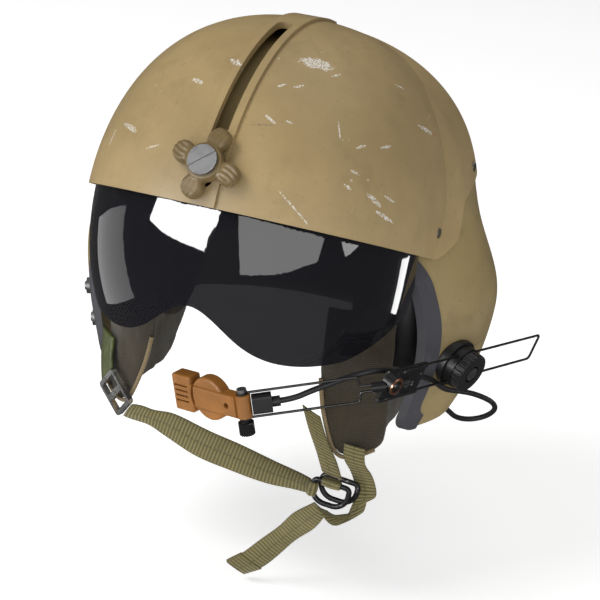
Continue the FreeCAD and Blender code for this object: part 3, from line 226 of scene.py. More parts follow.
def shade(colour, amount):
    return tuple(min(1.0, c * amount) for c in colour)


def paint(name, colour, wear, grime, marks=()):
    """Sprayed paint: slow tone changes, orange peel, specks, small chips, hairline scratches and marks."""
    b = Build(name)
    slow = b.noise(14, 4, 0.6)
    tone = b.mix(b.band(slow, 0.35, 0.7), shade(colour, 0.88), shade(colour, 1.07))
    dirt = b.band(b.noise(45, 6, 0.7), 0.5, 0.72)
    tone = b.mix_part(dirt, grime, tone, shade(colour, 0.66))
    specks = b.band(b.noise(420, 2, 0.5), 0.66, 0.72)
    tone = b.mix_part(specks, 0.35, tone, shade(colour, 0.55))
    long_way = b.stretched((26, 300, 60), (0.5, 0.9, 0.3))
    hair = b.band(b.noise(1, 2, 0.5, long_way), 0.72, 0.76)
    hair = b.math("MULTIPLY", hair, b.band(b.noise(9), 0.5, 0.6))
    tone = b.mix_part(hair, wear, tone, shade(colour, 1.35))
    chips = b.math("MULTIPLY", b.band(b.cells(130), 0.13, 0.10), b.band(b.noise(22), 0.6, 0.66))
    tone = b.mix_part(chips, wear, tone, (0.80, 0.78, 0.72))
    height = b.math("ADD", b.noise(1100, 2), b.math("MULTIPLY", hair, -1.2))
    if marks:
        edge = b.noise(330, 3, 0.6)
        streaks = b.noise(900, 4, 0.7)
    for centre, along, normal, length, width, tint in marks:
        across = normal.cross(along).normalized()
        turn = Matrix((along, across, normal)).transposed()
        m = b.tree.nodes.new("ShaderNodeMapping")
        m.vector_type = "TEXTURE"
        b.link(b.place, m.inputs["Vector"])
        m.inputs["Location"].default_value = centre
        m.inputs["Rotation"].default_value = turn.to_euler()
        m.inputs["Scale"].default_value = (length / 2, width / 2, MARK_DEPTH)
        far = b.tree.nodes.new("ShaderNodeVectorMath")
        far.operation = "LENGTH"
        b.link(m.outputs[0], far.inputs[0])
        ragged = b.math("ADD", far.outputs["Value"], b.spread(edge, -0.75, 0.75))
        mask = b.math("MULTIPLY", b.band(ragged, 1.02, 0.90), b.band(streaks, 0.42, 0.56))
        tone = b.mix_part(mask, 0.75, tone, tint)
        height = b.math("ADD", height, b.math("MULTIPLY", mask, -1.5))
    rough = b.spread(b.noise(70, 3), 0.42, 0.62)
    return b.done(tone, rough, b.bump(height, 0.22, 0.0004), coat=0.08)


def rubber(name, colour, rough=0.55, scale=900, dust=0.25):
    b = Build(name)
    tone = b.mix_part(b.band(b.noise(60, 5, 0.65), 0.5, 0.75), dust, colour, shade(colour, 1.9))
    tone = b.mix(b.band(b.noise(18), 0.4, 0.7), tone, shade(colour, 0.85))
    gloss = b.spread(b.noise(120), rough - 0.08, rough + 0.1)
    return b.done(tone, gloss, b.bump(b.noise(scale, 3), 0.25, 0.0003))


def moulded(name, colour, rough=0.42):
    """Moulded plastic with paler rubs."""
    b = Build(name)
    tone = b.mix(b.band(b.noise(40, 5, 0.6), 0.42, 0.7), shade(colour, 0.86), shade(colour, 1.1))
    rubs = b.band(b.noise(260, 4, 0.7), 0.62, 0.68)
    tone = b.mix_part(rubs, 0.5, tone, shade(colour, 1.5))
    gloss = b.spread(b.noise(90), rough - 0.1, rough + 0.15)
    return b.done(tone, gloss, b.bump(b.noise(700, 3), 0.15, 0.0003))


def metal(name, colour, rough=0.3, tarnish=0.4):
    b = Build(name)
    stain = b.band(b.noise(160, 5, 0.7), 0.5, 0.7)
    tone = b.mix_part(stain, tarnish, colour, shade(colour, 0.45))
    grain = b.noise(1, 2, 0.5, b.stretched((1800, 160, 900)))
    gloss = b.spread(b.noise(300), rough - 0.08, rough + 0.14)
    return b.done(tone, gloss, b.bump(grain, 0.08, 0.0002), metal=0.95)


def black_steel(name):
    """Black enamel worn to bright metal on small spots."""
    b = Build(name)
    worn = b.band(b.noise(220, 5, 0.7), 0.62, 0.66)
    tone = b.mix(worn, (0.02, 0.02, 0.022), (0.30, 0.29, 0.27))
    gloss = b.spread(b.noise(90), 0.28, 0.5)
    return b.done(tone, gloss, b.bump(b.noise(900), 0.15, 0.0003), metal=0.35)


def cloth(name, colour, pitch=0.0007):
    """Plain weave with its pitch in metres, faded patches and soil."""
    b = Build(name)
    scale = WAVE_OF_PITCH / pitch
    warp, weft, deep = (b.wave(scale, axis, 0.6) for axis in ("Z", "X", "Y"))
    weave = b.math("MAXIMUM", b.math("MULTIPLY", warp, weft), b.math("MULTIPLY", warp, deep))
    tone = b.mix(weave, shade(colour, 0.86), shade(colour, 1.08))
    tone = b.mix_part(b.band(b.noise(28, 5, 0.65), 0.45, 0.75), 0.5, tone, shade(colour, 1.45))
    tone = b.mix_part(b.band(b.noise(60, 5, 0.6), 0.55, 0.7), 0.45, tone, shade(colour, 0.5))
    height = b.math("ADD", weave, b.math("MULTIPLY", b.noise(160, 4), 1.2))
    return b.done(tone, 0.86, b.bump(height, 0.5, 0.0004), sheen=0.25)


def webbing_finish(name, colour):
    """Ribbed webbing. UV u runs across from 0 to 1 and v runs along in metres."""
    b = Build(name)
    split = b.tree.nodes.new("ShaderNodeSeparateXYZ")
    b.link(b.coords.outputs["UV"], split.inputs[0])
    u, v = split.outputs[0], split.outputs[1]
    off_middle = b.math("ABSOLUTE", b.math("SUBTRACT", u, 0.5))

    def ripple(along, per_unit):
        return b.math("SINE", b.math("MULTIPLY", along, 2 * math.pi * per_unit))

    rib = b.math("ADD", b.math("MULTIPLY", ripple(v, 1 / RIB_PITCH), 0.5), 0.5)
    middle = b.band(off_middle, 0.045, 0.02)
    dashes = b.math("MULTIPLY", middle, b.band(ripple(v, 1 / DASH_PITCH), -0.2, 0.2))
    # The rib wave also sets the colour: painted shade in the grooves between the ribs and painted highlight
    # on the rib tops.
    tone = b.mix(rib, shade(colour, 0.42), shade(colour, 1.25))
    for mask, share, tint in (
            (b.band(ripple(u, LANES_ACROSS), 0.4, 1.0), 0.25, 0.7),
            (dashes, 0.75, 0.4),
            (b.band(off_middle, 0.44, 0.48), 0.5, 0.6),
            (b.band(b.noise(50, 5, 0.65), 0.5, 0.7), 0.45, 0.55),
            (b.band(b.noise(34, 5, 0.65), 0.55, 0.75), 0.4, 1.5)):
        tone = b.mix_part(mask, share, tone, shade(colour, tint))
    height = b.math("ADD", rib, b.math("MULTIPLY", middle, -1.0))
    height = b.math("ADD", height, b.math("MULTIPLY", b.noise(500, 3), 0.6))
    return b.done(tone, 0.8, b.bump(height, 0.6, 0.0004), sheen=0.2)


def leather(name, colour, rough=0.48):
    b = Build(name)
    grain = b.cells(800)
    folds = b.noise(90, 6, 0.65, distortion=0.6)
    tone = b.mix(b.band(folds, 0.4, 0.7), shade(colour, 0.75), shade(colour, 1.25))
    tone = b.mix_part(b.band(b.noise(30, 4), 0.55, 0.7), 0.5, tone, shade(colour, 1.7))
    height = b.math("ADD", grain, b.math("MULTIPLY", folds, 1.5))
    gloss = b.spread(b.noise(140), rough - 0.1, rough + 0.15)
    return b.done(tone, gloss, b.bump(height, 0.45, 0.0005))


def foam(name, colour, bead=0.003):
    b = Build(name)
    seam = b.band(b.cells(1 / bead, "DISTANCE_TO_EDGE"), 0.0, 0.12)
    tone = b.mix(seam, shade(colour, 0.7), shade(colour, 1.05))
    tone = b.mix_part(b.band(b.noise(25, 4), 0.5, 0.7), 0.4, tone, shade(colour, 0.75))
    return b.done(tone, 0.85, b.bump(seam, 0.35, 0.0005))


def smoke_lens(name):
    b = Build(name)
    dust = b.band(b.noise(240, 6, 0.75), 0.62, 0.75)
    tone = b.mix_part(dust, 0.25, (0.010, 0.010, 0.013), (0.07, 0.07, 0.075))
    gloss = b.spread(dust, 0.03, 0.10)
    mat = b.done(tone, gloss, b.bump(b.noise(12, 2), 0.015, 0.0005), coat=0.6)
    b.shader.inputs["Coat Roughness"].default_value = 0.02
    b.shader.inputs["Alpha"].default_value = 0.88
    b.shader.inputs["IOR"].default_value = 1.56
    return mat


# Marks on the cover, placed where the photograph shows them on its surface

def tree_of(name):
    mesh = NODES[name].data
    points = [NODES[name].matrix_world @ p.co for p in mesh.vertices]
    return BVHTree.FromPolygons(points, [tuple(p.vertices) for p in mesh.polygons])


COVER_TREE = tree_of("visor_cover")
LENS_TREE = tree_of("visor_lens")
PALE = (0.83, 0.81, 0.75)
WHITE = (0.92, 0.91, 0.88)
DARK = (0.16, 0.13, 0.09)
# from pixel, to pixel, width in mm, colour
MARKS = [
    ((305, 62), (329, 68), 10.0, WHITE), ((232, 61), (241, 67), 4.0, WHITE),
    ((194, 80), (203, 84), 3.2, PALE), ((126, 124), (137, 132), 3.4, PALE),
    ((110, 145), (117, 130), 1.4, PALE), ((146, 149), (160, 145), 1.2, PALE),
    ((278, 87), (286, 85), 1.6, WHITE), ((294, 88), (304, 86), 1.6, WHITE),
    ((332, 77), (341, 75), 1.6, WHITE), ((265, 115), (275, 124), 1.8, WHITE),
    ((286, 121), (293, 124), 1.4, WHITE), ((250, 125), (277, 126), 0.9, DARK),
    ((338, 121), (340, 139), 1.2, PALE), ((356, 148), (366, 146), 1.8, PALE),
    ((381, 148), (391, 146), 1.8, PALE), ((350, 170), (359, 175), 1.6, PALE),
    ((344, 184), (350, 189), 1.8, WHITE), ((395, 85), (403, 89), 1.8, PALE),
    ((419, 126), (431, 134), 3.0, PALE), ((432, 132), (436, 136), 1.6, (0.45, 0.12, 0.08)),
    ((279, 191), (310, 227), 1.1, PALE), ((367, 194), (380, 206), 3.0, WHITE),
    ((374, 210), (392, 222), 2.4, WHITE), ((385, 196), (395, 203), 1.6, PALE),
]


def marks_on(tree):
    """Each mark's middle, length direction, normal, length, width and colour, in metres."""
    found = []
    for start, end, width, tint in MARKS:
        a, normal, _, _ = tree.ray_cast(EYE, pixel_ray(*start))
        c, _, _, _ = tree.ray_cast(EYE, pixel_ray(*end))
        if a is None or c is None:
            continue
        along = (c - a).normalized()
        normal = (normal - along * normal.dot(along)).normalized()
        length = (c - a).length + width / 2000
        found.append(((a + c) / 2, along, normal, length, width / 1000, tint))
    return found


COVER = (0.410, 0.295, 0.135)
SHELL = (0.355, 0.265, 0.112)
MATERIALS = {
    "cover_paint": paint("cover_paint", COVER, 0.35, 0.38, marks_on(COVER_TREE)),
    "shell_paint": paint("shell_paint", SHELL, 0.45, 0.45),
    "lens": smoke_lens("smoke_lens"),
    "knob": moulded("knob_plastic", (0.200, 0.138, 0.055)),
    "mic": moulded("mic_plastic", (0.37, 0.150, 0.030), 0.38),
    "trim": rubber("trim_rubber", (0.070, 0.070, 0.082)),
    "black": rubber("black_plastic", (0.018, 0.018, 0.020), 0.40, 700, 0.35),
    "wire": metal("boom_steel", (0.11, 0.108, 0.105), 0.34),
    "grey": metal("screw_grey", (0.33, 0.33, 0.33), 0.42, 0.6),
    "chrome": metal("bright_plate", (0.72, 0.72, 0.70), 0.18, 0.3),
    "copper": metal("copper_ring", (0.62, 0.29, 0.16), 0.25, 0.3),
    "enamel": black_steel("black_enamel"),
    "webbing": webbing_finish("webbing", (0.215, 0.180, 0.058)),
    "cloth": cloth("harness_cloth", (0.040, 0.028, 0.010)),
    "piping": cloth("piping", (0.25, 0.18, 0.085), 0.0009),
    "leather": leather("leather", (0.060, 0.036, 0.018)),
    "green_leather": leather("tab_leather", (0.085, 0.105, 0.022)),
    "pad_leather": leather("pad_leather", (0.045, 0.032, 0.022), 0.42),
    "foam": foam("liner_foam", (0.060, 0.055, 0.045)),
    "soft_foam": foam("soft_foam", (0.10, 0.10, 0.105), 0.0012),
    "lead": rubber("lead_jacket", (0.020, 0.020, 0.022), 0.42, 500, 0.3),
    "tie": rubber("tie_plastic", (0.03, 0.03, 0.03), 0.35),
}


def dress(obj, key):
    obj.data.materials.clear()
    obj.data.materials.append(MATERIALS[key])


KEPT = {
    "outer_shell": "shell_paint", "visor_cover": "cover_paint", "cover_screws": "grey", "visor_lens": "lens",
    "visor_knob": "knob", "knob_disc": "grey", "visor_lock_stud": "grey", "slot_slider": "black",
    "visor_guide_left": "black", "visor_guide_right": "black", "edge_trim": "trim", "swivel_base": "black",
    "swivel_disc": "enamel", "tension_knob": "black", "tension_screw": "grey", "boom_wire_loop": "wire",
    "clamp_plate": "enamel", "clamp_screws": "grey", "ball_socket": "enamel", "socket_ring": "copper",
    "boom_ball": "wire", "front_collar": "enamel", "front_wires": "wire", "pivot_screw": "grey",
    "thumb_screw": "enamel", "mic_boot": "lead", "mic_body": "mic", "mic_front_block": "mic",
    "cable_tie": "tie", "lead_clip": "enamel", "comm_gland": "black", "earcup_left": "black",
    "earcup_right": "black", "earphones": "black", "headband_clips": "grey", "snap_studs": "grey",
    "strap_buckle": "chrome", "d_rings": "enamel", "foam_liner": "foam",
}
for node, key in KEPT.items():
    dress(NODES[node], key)
BODY = {node: body for body, nodes in frame["record"]["behaviour"]["bodies"].items() for node in nodes}


# Mesh helpers

def shade_smooth(mesh):
    for face in mesh.polygons:
        face.use_smooth = True


def linked(name, data):
    obj = bpy.data.objects.new(name, data)
    bpy.context.collection.objects.link(obj)
    return obj


def new_object(name, mesh, key):
    obj = linked(name, mesh)
    dress(obj, key)
    shade_smooth(mesh)
    return obj


def flat_mesh(name, corners):
    """A mesh of one face."""
    mesh = bpy.data.meshes.new(name)
    bm = bmesh.new()
    bm.faces.new([bm.verts.new(c) for c in corners])
    bm.to_mesh(mesh)
    bm.free()
    return mesh


def applied(obj):
    """Gives the object its mesh with the modifiers applied."""
    graph = bpy.context.evaluated_depsgraph_get()
    mesh = bpy.data.meshes.new_from_object(obj.evaluated_get(graph))
    obj.modifiers.clear()
    old = obj.data
    obj.data = mesh
    bpy.data.meshes.remove(old)


def copy_of(node, name, key, voxel):
    """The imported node's mesh in the world frame, remeshed evenly."""
    source = NODES[node]
    mesh = source.data.copy()
    mesh.transform(source.matrix_world)
    obj = new_object(name, mesh, key)
    mod = obj.modifiers.new("remesh", "REMESH")
    mod.mode = "VOXEL"
    mod.voxel_size = voxel
    applied(obj)
    return obj


def smooth_mesh(obj, times):
    mod = obj.modifiers.new("smooth", "SMOOTH")
    mod.iterations = times
    mod.factor = 0.5
    applied(obj)
    shade_smooth(obj.data)


PUFF_FRAMES = 20


def puff(obj, pressure, cap):
    """A short cloth run that fills the piece, each point held within cap of where it was."""
    start = [p.co.copy() for p in obj.data.vertices]
    mod = obj.modifiers.new("cloth", "CLOTH")
    fabric = mod.settings
    fabric.quality = 4
    fabric.mass = 0.3
    fabric.tension_stiffness = 12
    fabric.compression_stiffness = 12
    fabric.shear_stiffness = 4
    fabric.bending_stiffness = 0.4
    fabric.use_pressure = True
    fabric.uniform_pressure_force = pressure
    fabric.effector_weights.gravity = 0
    mod.collision_settings.use_collision = False
    mod.point_cache.frame_end = PUFF_FRAMES
    scene = bpy.context.scene
    for step in range(1, PUFF_FRAMES + 1):
        scene.frame_set(step)
    graph = bpy.context.evaluated_depsgraph_get()
    moved = obj.evaluated_get(graph).to_mesh()
    ends = [p.co.copy() for p in moved.vertices]
    obj.evaluated_get(graph).to_mesh_clear()
    obj.modifiers.clear()
    scene.frame_set(1)
    for point, a, c in zip(obj.data.vertices, start, ends):
        step = c - a
        if step.length > cap:
            step = step * (cap / step.length)
        point.co = a + step
    obj.data.update()


def crumple(obj, height, size, seed):
    """Soft uneven folds along the normals."""
    normals = [p.normal.copy() for p in obj.data.vertices]
    for point, normal in zip(obj.data.vertices, normals):
        at = point.co * (1 / size) + V((seed, seed * 2, seed * 3))
        amount = noise.fractal(at, 0.9, 2.0, 3)
        point.co = point.co + normal * (height * amount)
    obj.data.update()


def finish_soft(obj, node, subdivide=False):
    """Sets the piece on its node's body in the node's place."""
    if subdivide:
        mod = obj.modifiers.new("fine", "SUBSURF")
        mod.levels = 1
        mod.render_levels = 1
        applied(obj)
    shade_smooth(obj.data)
    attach(obj, BODY[node])
    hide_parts(node)


def tube_piece(name, points, radius, key):
    """A round tube along a curve that the points guide, in metres."""
    curve = bpy.data.curves.new(name, "CURVE")
    curve.dimensions = "3D"
    curve.bevel_depth = radius
    curve.bevel_resolution = 4
    curve.resolution_u = 12
    curve.use_fill_caps = True
    spline = curve.splines.new("NURBS")
    spline.points.add(len(points) - 1)
    for slot, p in zip(spline.points, points):
        slot.co = (*p, 1)
    spline.order_u = 3
    spline.use_endpoint_u = True
    curve.materials.append(MATERIALS[key])
    return linked(name, curve)


def mm(*points):
    return [V(p) / 1000 for p in points]


# Padded pieces

for node, key, voxel, push, cap, fill in (
        ("ear_seal_left", "pad_leather", 0.0028, 4.0, 0.0016, 0.8),
        ("ear_seal_right", "pad_leather", 0.0028, 4.0, 0.0016, 0.8),
        ("crown_pad", "pad_leather", 0.0032, 4.0, 0.0015, 0.6),
        ("nape_pad", "pad_leather", 0.0030, 4.0, 0.0015, 0.6)):
    piece = copy_of(node, node + "_soft", key, voxel)
    smooth_mesh(piece, 6)
    puff(piece, push, cap)
    crumple(piece, 0.0005, 0.012, 1.3)
    finish_soft(piece, node, subdivide=True)
for node, key, voxel, bumpy, fill in (
        ("ear_foams", "soft_foam", 0.0016, 0.0002, 0.5),
        ("cup_spacer_left", "soft_foam", 0.0022, 0.0003, 0.6),
        ("cup_spacer_right", "soft_foam", 0.0022, 0.0003, 0.6)):
    piece = copy_of(node, node + "_soft", key, voxel)
    smooth_mesh(piece, 3)
    crumple(piece, bumpy, 0.010, 4.1)
    finish_soft(piece, node)

# Cloth panels, leather band and slings
for node, key, voxel, bumpy, size, seed, fill in (
        ("front_flap_left", "cloth", 0.0011, 0.0011, 0.028, 2.2, 0.2),
        ("front_flap_right", "cloth", 0.0011, 0.0011, 0.028, 7.7, 0.2),
        ("ear_harness_left", "cloth", 0.0013, 0.0008, 0.030, 5.1, 0.2),
        ("ear_harness_right", "cloth", 0.0013, 0.0008, 0.030, 9.4, 0.2),
        ("headband", "leather", 0.0012, 0.0004, 0.020, 3.3, 0.3)):
    piece = copy_of(node, node + "_soft", key, voxel)
    smooth_mesh(piece, 4)
    crumple(piece, bumpy, size, seed)
    finish_soft(piece, node)
piece = copy_of("crown_straps", "crown_straps_soft", "cloth", 0.0009)
smooth_mesh(piece, 3)
finish_soft(piece, "crown_straps")


# Lock knob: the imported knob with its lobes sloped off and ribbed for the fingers

LOCK_ANGLE = math.radians(29.5)
KNOB_RADIUS = 0.1365
LOBE_START, LOBE_BLEND = 11.5, 6.0
LOBE_MIDDLE = 14
LOBE_FOOT = 3.0
RIB_SPACING = 3.1
knob_out = V((0, -math.cos(LOCK_ANGLE), math.sin(LOCK_ANGLE)))
knob_up = V((0, math.sin(LOCK_ANGLE), math.cos(LOCK_ANGLE)))
knob_foot = V((0, 0, 0.020)) + knob_out * KNOB_RADIUS
first_lobe = math.radians(-15)
knob = copy_of("visor_knob", "visor_knob_moulded", "knob", 0.0006)
smooth_mesh(knob, 5)
for point in knob.data.vertices:
    local = point.co - knob_foot
    x, y, z = local.x * 1000, local.dot(knob_up) * 1000, local.dot(knob_out) * 1000
    reach = math.hypot(x, y)
    turn = math.atan2(y, x) - first_lobe
    turn = (turn + math.pi / 4) % (math.pi / 2) - math.pi / 4
    along, across = reach * math.cos(turn), reach * math.sin(turn)
    out = max(0.0, min(1.0, (along - LOBE_START) / LOBE_BLEND))
    if out > 0 and z > LOBE_FOOT:
        bowed = across + 0.03 * (along - LOBE_MIDDLE) ** 2
        rib = 0.5 + 0.5 * math.cos(2 * math.pi * bowed / RIB_SPACING)
        slope = max(0.0, (along - LOBE_MIDDLE) / LOBE_MIDDLE)
        z -= out * (0.9 * rib + 1.6 * slope) * min(1.0, (z - LOBE_FOOT) / LOBE_FOOT)
        point.co = knob_foot + V((x, 0, 0)) / 1000 + knob_up * (y / 1000) + knob_out * (z / 1000)
knob.data.update()
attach(knob, BODY["visor_knob"])
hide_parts("visor_knob")


# Webbing, swept through stations of point, width direction and face direction, in mm

LANES = (-1, -0.94, -0.6, -0.3, 0, 0.3, 0.6, 0.94, 1)
WOBBLE = 0.0005
WIDE, LEG_WIDE, THICK = 19.0, 14.0, 1.6


def curve_through(values, t):
    """A smooth curve through evenly spaced values."""
    last = len(values) - 1
    i = min(int(t), last - 1)
    f = t - i
    p0 = values[max(i - 1, 0)]
    p1 = values[i]
    p2 = values[i + 1]
    p3 = values[min(i + 2, last)]
    return (p1 * 2 + (p2 - p0) * f + (p0 * 2 - p1 * 5 + p2 * 4 - p3) * f * f
            + (p1 * 3 - p0 - p2 * 3 + p3) * f * f * f) * 0.5


def webbing(name, stations, width, thick, key="webbing", narrow=None, steps=14, seed=1.0):
    """A band of width and thickness in mm, gathered by narrow at each station."""
    points = [V(s[0]) / 1000 for s in stations]
    acrosses = [V(s[1]).normalized() for s in stations]
    faces = [V(s[2]).normalized() for s in stations]
    narrow = narrow or [1.0] * len(stations)
    mesh = bpy.data.meshes.new(name)
    bm = bmesh.new()
    uv = bm.loops.layers.uv.new("UVMap")
    half = width / 2000
    deep = thick / 2000
    rows = []
    length = 0.0
    before = None
    count = (len(points) - 1) * steps
    for k in range(count + 1):
        t = k / steps
        p = curve_through(points, t)
        a = curve_through(acrosses, t).normalized()
        gather = curve_through(narrow, t)
        n = curve_through(faces, t)
        n = (n - a * n.dot(a)).normalized()
        if before is not None:
            length += (p - before).length
        before = p
        wobble = WOBBLE * noise.noise(p * 60 + V((seed, 0, 0)))
        ring = []
        for side in (1, -1):
            for w in LANES[::side]:
                tuck = 0.35 if abs(w) == 1 else 1.0
                cup = -0.0006 * w * w + (1 - gather) * 0.0035 * (0.35 - abs(w))
                at = p + a * (half * w * gather) + n * (deep * tuck * side + cup + wobble)
                ring.append((bm.verts.new(at), (w + 1) / 2, length))
        rows.append(ring)
    for one, two in zip(rows, rows[1:]):
        size = len(one)
        for i in range(size):
            j = (i + 1) % size
            corners = [one[i], one[j], two[j], two[i]]
            face = bm.faces.new([c[0] for c in corners])
            for loop, c in zip(face.loops, corners):
                loop[uv].uv = (c[1], c[2])
    for row in (rows[0], rows[-1]):
        bm.faces.new([c[0] for c in row])
    bmesh.ops.recalc_face_normals(bm, faces=bm.faces)
    bm.to_mesh(mesh)
    bm.free()
    return new_object(name, mesh, key)


RIGHT_STRAP = [
    ((-71.9, -49.9, -110.7), (0.50, -0.40, 0.75), (-0.46, -0.86, -0.2)),
    ((-56.0, -51.2, -111.0), (0.20, 0.10, 0.95), (0.0, -0.98, 0.1)),
    ((-40.0, -51.6, -112.6), (0.20, 0.20, 0.95), (0.0, -0.95, 0.2)),
    ((-18.0, -52.0, -118.6), (0.22, 0.25, 0.94), (-0.05, -0.95, 0.2)),
    ((8.0, -52.0, -122.8), (0.16, 0.32, 0.93), (-0.05, -0.95, 0.3)),
    ((32.0, -51.4, -126.6), (0.10, 0.40, 0.90), (-0.05, -0.9, 0.4)),
    ((50.0, -51.2, -128.0), (0.04, 0.35, 0.93), (-0.03, -0.95, 0.35)),
    ((60.7, -52.4, -129.0), (0.0, 0.15, 0.98), (0.0, -0.98, 0.15)),
]
LEFT_FRONT = [
    ((56.0, -51.5, -78.0), (0.93, -0.05, -0.35), (0.1, -1.0, 0.1)),
    ((63.0, -52.5, -93.0), (0.93, 0.05, -0.35), (0.0, -1.0, 0.1)),
    ((70.0, -52.5, -106.0), (0.95, 0.1, -0.25), (0.1, -1.0, 0.0)),
    ((74.5, -51.5, -117.7), (0.98, 0.0, -0.15), (0.0, -1.0, 0.0)),
]
LEFT_REAR = [
    ((85.5, -45.8, -97.0), (0.98, 0.15, -0.1), (0.15, -0.98, 0.0)),
    ((86.5, -45.8, -107.0), (0.98, 0.15, -0.1), (0.15, -0.98, 0.0)),
    ((91.0, -43.2, -115.0), (0.98, 0.12, 0.0), (0.12, -0.98, 0.1)),
    ((93.5, -40.6, -123.0), (0.98, 0.1, 0.05), (0.1, -0.98, 0.1)),
    ((95.0, -40.6, -132.0), (0.95, 0.1, 0.25), (0.1, -0.98, 0.05)),
    ((91.0, -40.8, -140.0), (0.75, 0.1, 0.65), (0.1, -0.98, 0.05)),
]
TAIL = [
    ((71.0, -54.0, -141.0), (0.72, 0.45, -0.55), (0.35, -0.9, -0.2)),
    ((60.0, -52.0, -154.0), (0.70, 0.35, -0.60), (0.3, -0.93, -0.2)),
    ((48.5, -50.5, -167.5), (0.66, 0.30, -0.62), (0.25, -0.95, -0.2)),
    ((37.0, -50.0, -181.5), (0.66, 0.34, -0.64), (0.3, -0.93, -0.2)),
    ((26.0, -50.5, -193.5), (0.62, 0.45, -0.58), (0.4, -0.88, -0.2)),
    ((16.0, -52.0, -200.5), (0.45, 0.62, -0.62), (0.5, -0.75, -0.4)),
]
TAB = [
    ((-97.0, -35.0, -66.0), (0.70, -0.71, 0.0), (-0.71, -0.70, 0.0)),
    ((-95.6, -38.6, -80.0), (0.68, -0.68, 0.25), (-0.69, -0.70, -0.1)),
    ((-91.55, -43.9, -91.9), (0.538, -0.457, 0.710), (-0.46, -0.86, -0.2)),
]
strap = webbing("chin_strap_right_web", RIGHT_STRAP, WIDE, THICK,
                narrow=[0.9, 0.58, 0.86, 1, 0.96, 0.82, 0.62, 0.52])
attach(strap, "helmet")
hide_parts("chin_strap_right")
front_leg = webbing("chin_strap_left_web", LEFT_FRONT, LEG_WIDE, THICK, seed=3.0)
rear_leg = webbing("chin_strap_rear_web", LEFT_REAR, LEG_WIDE, THICK, seed=5.0)
for leg in (front_leg, rear_leg):
    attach(leg, "helmet")
    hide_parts("chin_strap_left")
tail = webbing("strap_tail_web", TAIL, WIDE, THICK, narrow=[0.62, 0.92, 0.78, 0.88, 0.95, 1], seed=8.0)
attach(tail, "helmet")
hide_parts("strap_tail")
hem = webbing("strap_tail_hem", TAIL[-2:], 19.2, 2.8, seed=8.0, steps=8)
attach(hem, "helmet")


WRAP_RADIUS = 2.75
WRAP_TURN = 300
WRAP_STEPS = 8


def wrap(name, centre, bar, toward, width, node):
    """Webbing turned round a ring's bar, its open side toward the strap it ends."""
    bar = V(bar).normalized()
    one = (V(toward) - bar * V(toward).dot(bar)).normalized()
    two = bar.cross(one)
    stations = []
    for step in range(WRAP_STEPS + 1):
        angle = math.radians(-WRAP_TURN / 2 + WRAP_TURN * step / WRAP_STEPS)
        out = -one * math.cos(angle) + two * math.sin(angle)
        stations.append((V(centre) + out * WRAP_RADIUS, bar, out))
    piece = webbing(name, stations, width, 1.4, steps=4, seed=4.0)
    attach(piece, "helmet")
    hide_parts(node)


RING_ACROSS = (0.99, 0.06, -0.10)
RING_ALONG = (0.12, 0.04, 0.98)
wrap("chin_strap_right_turn", (63.4, -53.3, -128.9), RING_ALONG, (-1, 0, 0), 9.6, "chin_strap_right")
wrap("chin_strap_left_turn", (75.4, -52.4, -122.9), RING_ACROSS, (0, 0, 1), 12.6, "chin_strap_left")
CURL = [
    ((91.0, -40.8, -140.0), (0.75, 0.10, 0.65), (0.10, -0.98, 0.05)),
    ((89.5, -43.6, -146.6), (0.70, 0.45, 0.50), (0.55, -0.55, -0.60)),
    ((82.0, -48.8, -148.6), (0.45, 0.80, 0.30), (0.10, -0.30, -0.95)),
    ((75.0, -53.0, -145.0), (0.62, 0.60, -0.35), (-0.30, -0.80, -0.45)),
    ((71.0, -54.0, -141.0), (0.72, 0.45, -0.55), (0.35, -0.90, -0.20)),
]
curl = webbing("chin_strap_curl", CURL, 14.5, 1.5, narrow=[0.95, 1, 0.9, 0.8, 0.75], seed=6.0)
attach(curl, "helmet")
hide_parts("chin_strap_left")
tab = webbing("snap_tab_leather", TAB, 20.0, 2.4, "green_leather", seed=2.0)
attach(tab, "helmet")
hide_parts("snap_tab")


# Piping round the front flaps

FLAP_LINE = [(58.0, -48.0), (68.0, -48.0), (76.0, -45.6), (85.0, -42.0), (92.0, -36.5), (98.5, -29.0)]
FLAP_EDGE = [(59.0, -56.0), (61.0, -70.0), (65.0, -84.0), (70.0, -98.0), (74.0, -104.5), (79.0, -107.0),
             (88.0, -105.0), (95.0, -101.5)]
PIPING_RADIUS = 0.0014
PIPING_PROUD = 0.6


def flap_y(x):
    """The flap's face at x, in mm, for an x within the line."""
    for (x0, y0), (x1, y1) in zip(FLAP_LINE, FLAP_LINE[1:]):
        if x <= x1:
            return y0 + (y1 - y0) * (x - x0) / (x1 - x0)


for side, label in ((1, "left"), (-1, "right")):
    route = [V((side * x, flap_y(x) - PIPING_PROUD, z)) / 1000 for x, z in FLAP_EDGE]
    pipe = tube_piece("flap_piping_" + label, route, PIPING_RADIUS, "piping")
    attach(pipe, "helmet")


# Microphone lead: the route's own points, in mm

LEAD_FRONT = mm((57.3, -112.7, -48.7), (64.4, -109.3, -46.9), (73.6, -102.5, -41.3), (84.8, -95.6, -35.7))
BRIDGE_A = mm((84.8, -95.6, -35.7), (94.2, -89.8, -30.9), (101.5, -85.2, -28.7))
BRIDGE_B = mm((101.5, -85.2, -28.7), (108.7, -80.6, -26.4), (113.0, -62.7, -33.9))
LEAD_PLATE = mm((113.0, -62.7, -33.9), (115.8, -50.9, -38.8), (119.2, -37.1, -43.7))
LOOP_B = mm((119.2, -37.1, -43.7), (122.7, -23.3, -48.6), (125.2, -16.4, -54.0))
LOOP_A = mm((125.2, -16.4, -54.0), (127.7, -9.5, -59.5), (132.2, 5.4, -64.9), (137.8, 22.1, -70.7),
            (143.4, 38.6, -78.5), (146.9, 52.1, -86.2), (146.9, 61.8, -94.5), (140.4, 66.4, -102.8),
            (130.3, 63.4, -106.9), (122.4, 54.1, -104.1), (118.5, 45.9, -96.8), (114.7, 39.7, -91.0))


LEAD_RADIUS = 0.0018


